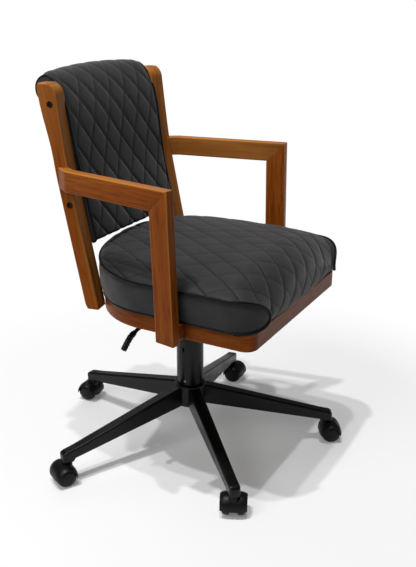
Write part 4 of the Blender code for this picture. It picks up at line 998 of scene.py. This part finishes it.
def back_grids(columns=151, front_rows=150, roll_rows=64, tail_rows=8):
    """Outer and inner surface of the pad, each as rows along the pad and columns across it. The inner one
    runs up the board and then straight back under the roll."""
    s = np.linspace(-1, 1, columns)
    s = np.sign(s) * (1 - (1 - np.abs(s)) ** 1.25)
    x = s * BACK_HALF
    eased = 0.008 * (1 - np.sqrt(1 - np.clip((np.abs(s) - 0.86) / 0.14, 0, 1) ** 2))
    low = BACK_BOTTOM + (BACK_UNDER - BACK_BOTTOM) * np.linspace(0, 1, front_rows)[:, None]
    along = np.linspace(0, 1, roll_rows + tail_rows + 1)[1:, None]
    deep = back_face(x, BACK_UNDER) - BOARD_GAP + along * (2 * ROLL_RADIUS - 0.004 - 2.6 * eased)
    inner = np.concatenate([sheet_of(x, back_face(x, low) - BOARD_GAP, low), sheet_of(x, deep, BACK_UNDER)])
    return outer_grid(x, s, eased, front_rows, roll_rows, tail_rows), inner


back_outer, back_inner = back_grids()
climb = run_along(back_outer)
# a crossing of the seams lies 212 mm above the lower edge, 4.5 mm left of the middle; the cover was cut a
# little off the straight, so the diamonds lean
back_a, back_b = diamonds(back_outer[..., 0] - 0.0045 + 0.12 * (climb - 0.212), climb - 0.212)
back_mask = fade(BACK_HALF - np.abs(back_outer[..., 0]), 0.012) * fade(climb, 0.022)
back_mask = back_mask * fade(climb[-1:] - climb, 0.060) * (1 - 0.7 * fade(back_outer[..., 2] - 0.800, 0.045))
back_quilted = quilted(back_outer, (0, -1.0, 0), back_a, back_b, back_mask, 0.0012, 0.0032, 0.75)
back_quilted = stuffed("back_pad_sheet", back_quilted, (0, -1.0, 0.2), back_a, back_b, back_mask)
print("back pad, length over the roll in mm:", round(1000 * float(climb[-1, climb.shape[1] // 2])))

# %% [markdown]
# ## Closing the back pad
#
# A narrow boxing strip joins the quilted face to the flat rear at each side, as a sewn gusset does. The four
# surfaces make one loop, so the pad is closed round and only its two ends need a cap.

# %% Back pad
def boxing(outer_edge, inner_edge, side, count=7):
    """Narrow side strip from the outer to the inner edge, bulging by 0.6 mm: p + (q - p) w + n sin(pi w)."""
    w = np.linspace(0, 1, count + 2)[1:-1, None]
    strip = outer_edge[:, None] + (inner_edge - outer_edge)[:, None] * w
    strip[..., 0] += side * 0.0006 * np.sin(np.pi * w[:, 0])
    return strip


loop = np.concatenate([back_quilted, boxing(back_quilted[:, -1], back_inner[:, -1], 1.0), back_inner[:, ::-1],
                       boxing(back_inner[:, 0], back_quilted[:, 0], -1.0)], axis=1)
quilt = np.zeros((*loop.shape[:2], 3))
quilt[:, :back_quilted.shape[1]] = np.stack([back_a, back_b, back_mask], -1)
back = piece("back_pad_leather", [shell(loop)], LEATHER, "seat", ["back_cushion"],
             {"quilt": quilt.reshape(-1, 3)}, sharp=60)
print("back pad points:", len(back.data.vertices))

# %% [markdown]
# ## Rear cover
#
# Behind the board a plain padded panel closes the back. It is a pillow: flat against the board, swelling
# by about 12 mm in the middle, drawn down at its sewn edge.

# %% Rear cover
def cover_grids(rows=80, columns=90):
    """Flat and swollen surface of the rear panel; the swelling is (1 - s^4)(1 - t^4) to the power 0.5."""
    s, t = np.linspace(-1, 1, columns), np.linspace(-1, 1, rows)[:, None]
    low, high = BACK_BOTTOM + 0.017, BACK_UNDER - 0.0005
    x, z = s * 0.1550, (low + high) / 2 + t * (high - low) / 2
    rise = np.maximum((1 - s ** 4) * (1 - t ** 4), 0) ** 0.5
    flat = back_face(x, z) + 0.0183
    return sheet_of(x, flat, z), sheet_of(x, flat + 0.0035 + 0.0090 * rise, z)


cover_flat, cover_full = cover_grids()
cover_loop = np.concatenate([cover_full, cover_flat[:, ::-1]], axis=1)
cover = piece("back_cover_leather", [shell(cover_loop)], LEATHER, "seat", ["back_cover"], sharp=60)
print("rear cover points:", len(cover.data.vertices))

# %% [markdown]
# ## Piping
#
# Piping is a cord in a leather strip, sewn into a seam so that it stands proud. It is a round section
# carried along a path. At each point a reference direction, made square to the path, starts the circle; for
# the seat it points away from the middle of the cushion, so that the section never twists.

# %% Piping
CORD, CORD_STEP = 0.0030, 0.0025


def tube(path, radius, reference, sides=14):
    """Circle along a path: p + r (n cos a + m sin a), n the reference square to the path and m across it."""
    path = np.asarray(path, float)
    tangent = unit(np.gradient(path, axis=0))
    reference = np.broadcast_to(reference, path.shape)
    n = unit(reference - np.sum(reference * tangent, axis=1, keepdims=True) * tangent)
    m = np.cross(tangent, n)
    a = np.linspace(0, 2 * np.pi, sides, endpoint=False)[:, None]
    radius = np.broadcast_to(radius, len(path))[:, None, None]
    return path[:, None] + radius * (n[:, None] * np.cos(a) + m[:, None] * np.sin(a))


seam = even(np.concatenate([quilted_top[::-1, 0], quilted_top[0, 1:-1], quilted_top[:, -1]]), CORD_STEP)
away = unit(seam - MIDDLE)
foot = np.concatenate([band[-1, NOSE_ROWS // 2:-(NOSE_ROWS // 2)], quilted_top[-1, ::-1][1:-1]])
foot = even(np.concatenate([foot, foot[:1]]), CORD_STEP)
foot_away = unit((foot - MIDDLE) * [1, 1, 0])
seat_piping = [shell(tube(seam + away * 0.0012, CORD, away)),
               shell(tube(foot + foot_away * 0.0004 + UP * 0.0014, 0.0024, foot_away))]
piece("seat_piping", seat_piping, PIPING, "seat", sharp=60)
back_piping = []
for column, side in ((0, 1.0), (-1, -1.0)):
    edge_line = even(back_quilted[:, column], CORD_STEP)
    along = unit(np.gradient(edge_line, axis=0))
    proud = np.stack([0 * along[:, 0], -along[:, 2], along[:, 1]], -1)
    edge_line = edge_line + proud * 0.0022 + np.array([0.0028 * side, 0, 0])
    back_piping.append(shell(tube(edge_line, CORD, (1.0, 0, 0))))
back_piping.append(shell(tube(even(back_quilted[0], CORD_STEP), 0.0022, UP)))
piece("back_piping", back_piping, PIPING, "seat", sharp=60)
print("seat seam in m:", round(len(seam) * CORD_STEP, 2))

# %% [markdown]
# ## Base
#
# Five pressed-steel legs are welded to a hub. A leg is a bar with rounded edges that tapers in height and
# width and turns down over the caster socket at its tip. One leg is worked out and turned by fifths.

# %% Hub, legs and column sleeve
LEG_REACH, LEG_END, HUB_RADIUS, HUB_BORE, HUB_TOP, HUB_BOTTOM = 0.317, 0.3295, 0.0365, 0.0253, 0.148, 0.097
SLEEVE, SLEEVE_BORE, SLEEVE_TOP, SLOT_RADIUS, SLOT_HALF = 0.0305, 0.017, 0.299, 0.0022, 0.0038


def about_z(points, angle):
    """Points turned about the Z axis."""
    c, s = math.cos(angle), math.sin(angle)
    return points @ np.array([[c, s, 0.0], [-s, c, 0.0], [0.0, 0.0, 1.0]])


def leg_heading(number):
    """Direction of a leg: the first as in the photograph, the others a fifth of a turn apart."""
    return math.radians(-62.34 + 72.0 * number)


def leg_bar():
    """Rows at growing distance r from the column; the upper and lower outlines go through given points."""
    r = np.concatenate([np.linspace(0.030, 0.292, 40), np.linspace(0.2945, 0.3205, 14),
                        LEG_END - np.array([0.0075, 0.0062])])
    upper = np.interp(r, [0.0285, 0.297, 0.3215, LEG_END], [0.146, 0.0805, 0.076, 0.0715])
    under = np.interp(r, [0.0285, 0.3020, 0.3065, 0.3300], [0.098, 0.0555, 0.0490, 0.0490])
    half = np.interp(r, [0.0285, LEG_END], [0.0145, 0.0115])
    path = np.stack([r, 0 * r, (upper + under) / 2], -1)
    ends = (([0.030, 0, 0], [-1.0, 0, 0], 0.001), ([LEG_END, 0, 0], [1.0, 0, 0], 0.0055))
    return bar(path, (0, 1.0, 0), UP, half, (upper - under) / 2, 0.0045, ends)[0]


def slot_hole():
    """Upright slot near the sleeve's top, on the sitter's right: an oval bar along X, closed at the middle of
    each end face."""
    turn = np.linspace(0, 2 * np.pi, 32, endpoint=False)
    height = SLOT_RADIUS * np.sin(turn) + np.where(np.sin(turn) > 0, SLOT_HALF, -SLOT_HALF)
    oval = np.stack([0 * turn, SLOT_RADIUS * np.cos(turn), height + SLEEVE_TOP - 0.061], -1)
    near, far = (oval + np.array([x, 0, 0]) for x in (-0.040, -0.024))
    return np.stack([near.mean(axis=0) + 0 * near, near, far, far.mean(axis=0) + 0 * far])


leg = leg_bar()
for number in range(5):
    node = f"base_leg_{number + 1}"
    points = about_z(leg, leg_heading(number))
    piece(f"{node}_steel", [shell(points)], COAT, "base", [node])
hub = [(HUB_BORE, HUB_TOP), (0.0338, HUB_TOP), (0.0354, HUB_TOP - 0.0006), (0.0363, HUB_TOP - 0.0018),
       (HUB_RADIUS, HUB_TOP - 0.0035), (HUB_RADIUS, HUB_BOTTOM + 0.004), (0.0356, HUB_BOTTOM + 0.0015),
       (0.0335, HUB_BOTTOM), (HUB_BORE, HUB_BOTTOM), (HUB_BORE, HUB_TOP)]
piece("base_hub_steel", [shell(turned(hub, 96), True, False)], COAT, "base", ["base_hub"])
wall = SLEEVE - 0.0015
column = [(SLEEVE_BORE, SLEEVE_TOP), (SLEEVE - 0.0016, SLEEVE_TOP), (SLEEVE - 0.0005, SLEEVE_TOP - 0.0005),
          (SLEEVE, SLEEVE_TOP - 0.0016), (SLEEVE, HUB_TOP + 0.0013), (SLEEVE - 0.0004, HUB_TOP + 0.0003),
          (wall, HUB_TOP + 0.0003), (wall, SLEEVE_TOP - 0.0015), (SLEEVE_BORE, SLEEVE_TOP - 0.0015),
          (SLEEVE_BORE, SLEEVE_TOP)]
sleeve = piece("column_sleeve_steel", [shell(turned(column, 96), True, False)], COAT, "base",
               ["column_sleeve"])
bored(sleeve, [slot_hole()])
print("leg length in mm:", round(1000 * (LEG_END - HUB_RADIUS)))

# %% [markdown]
# ## Casters
#
# Twin-wheel casters: a hood shaped like part of a barrel, a web between the wheels that carries the axle,
# a boss for the stem, and two domed wheels. They are worked out in the caster's own frame, with the stem on
# Z and the trailing side on +X, then turned and moved to the five leg tips.

# %% Caster housings and wheels
TRAIL, WHEEL, WEB, HOOD_HALF = 0.010, 0.0225, 0.008, 0.0280
CASTER_HEADINGS = (-58.0, -88.0, 91.0, 151.0, 25.0)


def barrel(y):
    """How far the hood draws in towards its ends: 4.8 mm at the end, by the fourth power."""
    return 0.0048 * (np.abs(y) / HOOD_HALF) ** 4


def around_axle(radius, y, angle):
    """Points at a radius about the axle, which lies along Y at x = trail, z = wheel radius."""
    return sheet_of(TRAIL + radius * np.cos(angle), y, WHEEL + radius * np.sin(angle))


def hood_grid():
    """Closed section across the hood, outer face there and inner face back, swept from -4 to 190 degrees."""
    y = HOOD_HALF * np.sin(np.linspace(-np.pi / 2, np.pi / 2, 33))
    radius = np.concatenate([0.0255 - barrel(y), 0.0237 - barrel(y[::-1])])
    angle = np.radians(np.linspace(-4.0, 190.0, 60))[:, None]
    return around_axle(radius, np.concatenate([y, y[::-1]]), angle)


def web_grid():
    """Plate between the wheels: part of a disc from -1 to 187 degrees with a round axle boss."""
    angle = np.radians(np.concatenate([np.linspace(-1, 187, 50), np.linspace(190, 356, 24)]))
    radius = np.where(angle < math.radians(188.5), 0.0249, 0.0085)
    y = np.array([-WEB, -WEB + 0.0008, WEB - 0.0008, WEB])[:, None]
    trim = np.array([0.0008, 0.0, 0.0, 0.0008])[:, None]
    return around_axle(radius - trim, y, angle)


def wheel_grid(side):
    """Domed wheel about the axle: rim, a step inside it, then a shallow dome up to a small hub cap."""
    profile = np.array([(0.0034, 0.0), (0.0205, 0.0), (0.0220, 0.0008), (WHEEL, 0.0024), (WHEEL, 0.0058),
                        (0.0222, 0.0088), (0.0214, 0.0118), (0.0200, 0.0142), (0.0186, 0.0154),
                        (0.0178, 0.0152), (0.0172, 0.0154), (0.0150, 0.0168), (0.0110, 0.0180),
                        (0.0074, 0.0184), (0.0068, 0.0181), (0.0062, 0.0184), (0.0035, 0.0187),
                        (0.0, 0.0188)])
    angle = np.linspace(0, 2 * np.pi, 56, endpoint=False)
    return around_axle(profile[:, :1], side * (WEB + 0.0005 + profile[:, 1:]), angle)


boss = turned([(0.0052, 0.0300), (0.0098, 0.0300), (0.0105, 0.0330), (0.0105, 0.0478), (0.0098, 0.0487),
               (0.0052, 0.0487), (0.0052, 0.0300)], 40)
for number, heading in enumerate(CASTER_HEADINGS):
    spot = about_z(np.array([LEG_REACH, 0.0, 0.0]), leg_heading(number))
    hood, web, stem, *wheels = (about_z(grid, math.radians(heading)) + spot for grid in (
        hood_grid(), web_grid(), boss, wheel_grid(-1.0), wheel_grid(1.0)))
    node = f"caster_housing_{number + 1}"
    piece(f"{node}_nylon", [shell(hood), shell(web), shell(stem, True, False)], NYLON, f"caster_{number + 1}",
          [node], sharp=35)
    for letter, wheel in zip("ab", wheels):
        node = f"caster_wheel_{number + 1}{letter}"
        piece(f"{node}_nylon", [shell(wheel)], NYLON, f"wheel_{number + 1}{letter}", [node],
              sharp=35)
print("casters:", len(CASTER_HEADINGS))

# %% [markdown]
# ## Lever, rivet and the nodes that stay
#
# The lever's grip is a moulded sleeve over the bent rod. A small rivet shows near the sleeve's foot. The
# remaining CAD nodes have the right shape: they keep their meshes and get the finish of their slot.

# %% Lever grip, rivet and finishes of the CAD nodes
LEVER_Z, RIVET_Z, RIVET_HEADING = 0.351, 0.161, math.radians(-173.0)
bend = np.array([[-0.172, 0.0312, -0.0198], [-0.179, 0.0323, -0.0226], [-0.186, 0.0335, -0.0262],
                 [-0.192, 0.0346, -0.0316], [-0.200, 0.0360, -0.0402], [-0.208, 0.0375, -0.0490]])
grip_path = even(bend + UP * LEVER_Z, 0.0012)
run = np.linspace(0, 1, len(grip_path))
grip_radius = 0.0050 + 0.0014 * fade(run, 0.12) + 0.0004 * np.sin(run * 40) * fade(run, 0.3) * (run < 0.9)
grip_radius = grip_radius * np.sqrt(np.clip((1.02 - run) / 0.05, 0.02, 1))
grip = tube(grip_path, grip_radius, (0, 1.0, 0), 24)
piece("lever_grip_nylon", [shell(grip)], NYLON, "lever", ["lever_grip"], sharp=60)
dome = turned([(0.0024, 0.0), (0.0023, 0.0006), (0.0017, 0.0012), (0.0009, 0.0015), (0.0, 0.0016)], 24)
rivet = about_z(np.roll(dome, 1, axis=-1) + np.array([SLEEVE, 0, RIVET_Z]), RIVET_HEADING)
piece("sleeve_rivet", [shell(rivet)], BRIGHT, "base", sharp=60)

by_slot = {"wood": WOOD, "plywood": PLYWOOD, "leather": LEATHER, "base_paint": COAT, "black_bolt": OXIDE,
           "mechanism_steel": BLACK_STEEL, "bright_steel": BRIGHT, "nylon": NYLON}
slot_of = {part["node"]: part["material_slot"] for part in frame["record"]["subparts"]}
for node, obj in frame["nodes"].items():
    obj.data.materials.clear()
    obj.data.materials.append(by_slot[slot_of[node]])
print("CAD nodes shown:", sum(not obj.hide_render for obj in frame["nodes"].values()))

# %% [markdown]
# ## Camera
#
# The camera is where the photographer stood: 61 degrees round to the sitter's right, 21 degrees above the
# horizon and 1.8 m away. The lens follows from the fit: 811 pixels of focal length in a frame of 416 by 567.

# %% Camera
AZIMUTH, ELEVATION, DISTANCE = math.radians(-61.19), math.radians(20.60), 1.7862
FOCAL_PIXELS, FRAME_PIXELS, SENSOR = 811.2, 567, 36


def aim(obj, spot, away):
    """Put a camera or a lamp at a spot with its back along away and its upper side upwards."""
    over = unit(np.cross(UP, away))
    turn = Matrix((over, np.cross(away, over), away)).transposed().to_4x4()
    obj.matrix_world = Matrix.Translation(spot) @ turn


away = np.array([math.sin(AZIMUTH) * math.cos(ELEVATION), -math.cos(AZIMUTH) * math.cos(ELEVATION),
                 math.sin(ELEVATION)])
target = np.array([math.cos(AZIMUTH), math.sin(AZIMUTH), 0.0]) * 0.0407 + UP * 0.3873
lens = bpy.data.cameras.new("camera")
lens.lens = FOCAL_PIXELS * SENSOR / FRAME_PIXELS
lens.sensor_width = SENSOR
camera = linked("camera", lens)
aim(camera, target + away * DISTANCE, away)
bpy.context.scene.camera = camera
print("camera at", np.round(target + away * DISTANCE, 3), "lens", round(lens.lens, 1), "mm")

# %% [markdown]
# ## Floor, light and background
#
# The photograph was taken on white, under lamps almost overhead that leave a clear shadow to the right.
# Three sun lamps a few degrees apart, each a little soft, give that shadow its stepped edge. A soft lamp at
# the side fills the faces that the camera sees, and one behind lifts the far ones. The floor is nearly white
# where it takes the shadow, and a faint painted glow, a 14 % share of white emission, lightens that shadow;
# further out it turns to plain white. It is white only to the eye and in mirrored or refracted rays; light
# that bounces meets a grey floor, so the undersides stay dark.

# %% Stage
FLOOR_REACH, LAMP_TARGET = 200.0, UP * 0.45
SUN_ANGLE, DISK_SIZE = math.radians(1.6), 1.6
LAMPS = (("overhead_middle", "SUN", 0.62, (-0.54, 0.22, 3.15)),
         ("overhead_rear", "SUN", 0.88, (-0.76, 0.43, 3.15)),
         ("overhead_front", "SUN", 0.72, (-0.32, -0.22, 3.15)),
         ("side", "AREA", 19.0, (-2.0, 0.45, 2.0)),
         ("behind", "AREA", 5.0, (1.3, 1.2, 1.8)))


def stage_floor():
    """Gives the eye a white floor that takes the shadow, with a faint painted glow that lightens it, and has
    no far edge.
    """
    finish, shader = start_finish("white studio floor", Roughness=0.9, Specular_IOR_Level=0.0)
    place = put(finish, "TexCoord").outputs["Object"]
    away = put(finish, "VectorMath", {0: place}, operation="LENGTH").outputs["Value"]
    # painted glow: near the chair a 14 % share of white emission lightens the shadow; beyond 0.95 m the floor
    # is plain white
    far = put(finish, "MapRange", {"Value": away, "From Min": 0.62, "From Max": 0.95, "To Min": 0.14})
    ray = put(finish, "LightPath").outputs
    seen = put(finish, "Math", {0: ray["Is Camera Ray"], 1: ray["Is Glossy Ray"]}, operation="MAXIMUM")
    seen = put(finish, "Math", {0: seen, 1: ray["Is Transmission Ray"]}, operation="MAXIMUM")
    tone = put(finish, "Mix", {0: seen, 6: "#707070", 7: "#fafafa"}, data_type="RGBA").outputs[2]
    feed(finish, shader, {"Base Color": tone})
    share = put(finish, "Math", {0: far, 1: seen}, operation="MULTIPLY")
    white = put(finish, "Emission", {"Color": "#ffffff", "Strength": 1.0})
    mix = put(finish, "MixShader", {0: share, 1: shader, 2: white})
    feed(finish, finish.node_tree.nodes["Material Output"], {"Surface": mix})
    return finish


ends = np.array([-FLOOR_REACH, FLOOR_REACH])
floor_mesh = bpy.data.meshes.new("floor")
floor_mesh.from_pydata(sheet_of(ends[:, None], ends, 0.0).reshape(-1, 3), [], [[0, 2, 3, 1]])
floor_mesh.materials.append(stage_floor())
floor = linked("floor", floor_mesh)
for name, kind, energy, spot in LAMPS:
    light = bpy.data.lights.new(name, kind)
    light.energy = energy
    if kind == "SUN":
        light.angle = SUN_ANGLE
    else:
        light.shape = "DISK"
        light.size = DISK_SIZE
    aim(linked(name, light), np.array(spot), unit(spot - LAMP_TARGET))
world = bpy.data.worlds.new("studio")
bpy.context.scene.world = world
world.use_nodes = True
feed(world, world.node_tree.nodes["Background"], {"Color": "#ffffff", "Strength": 0.12})
bpy.context.scene.view_settings.view_transform = "Standard"
print("lamps:", len(LAMPS))
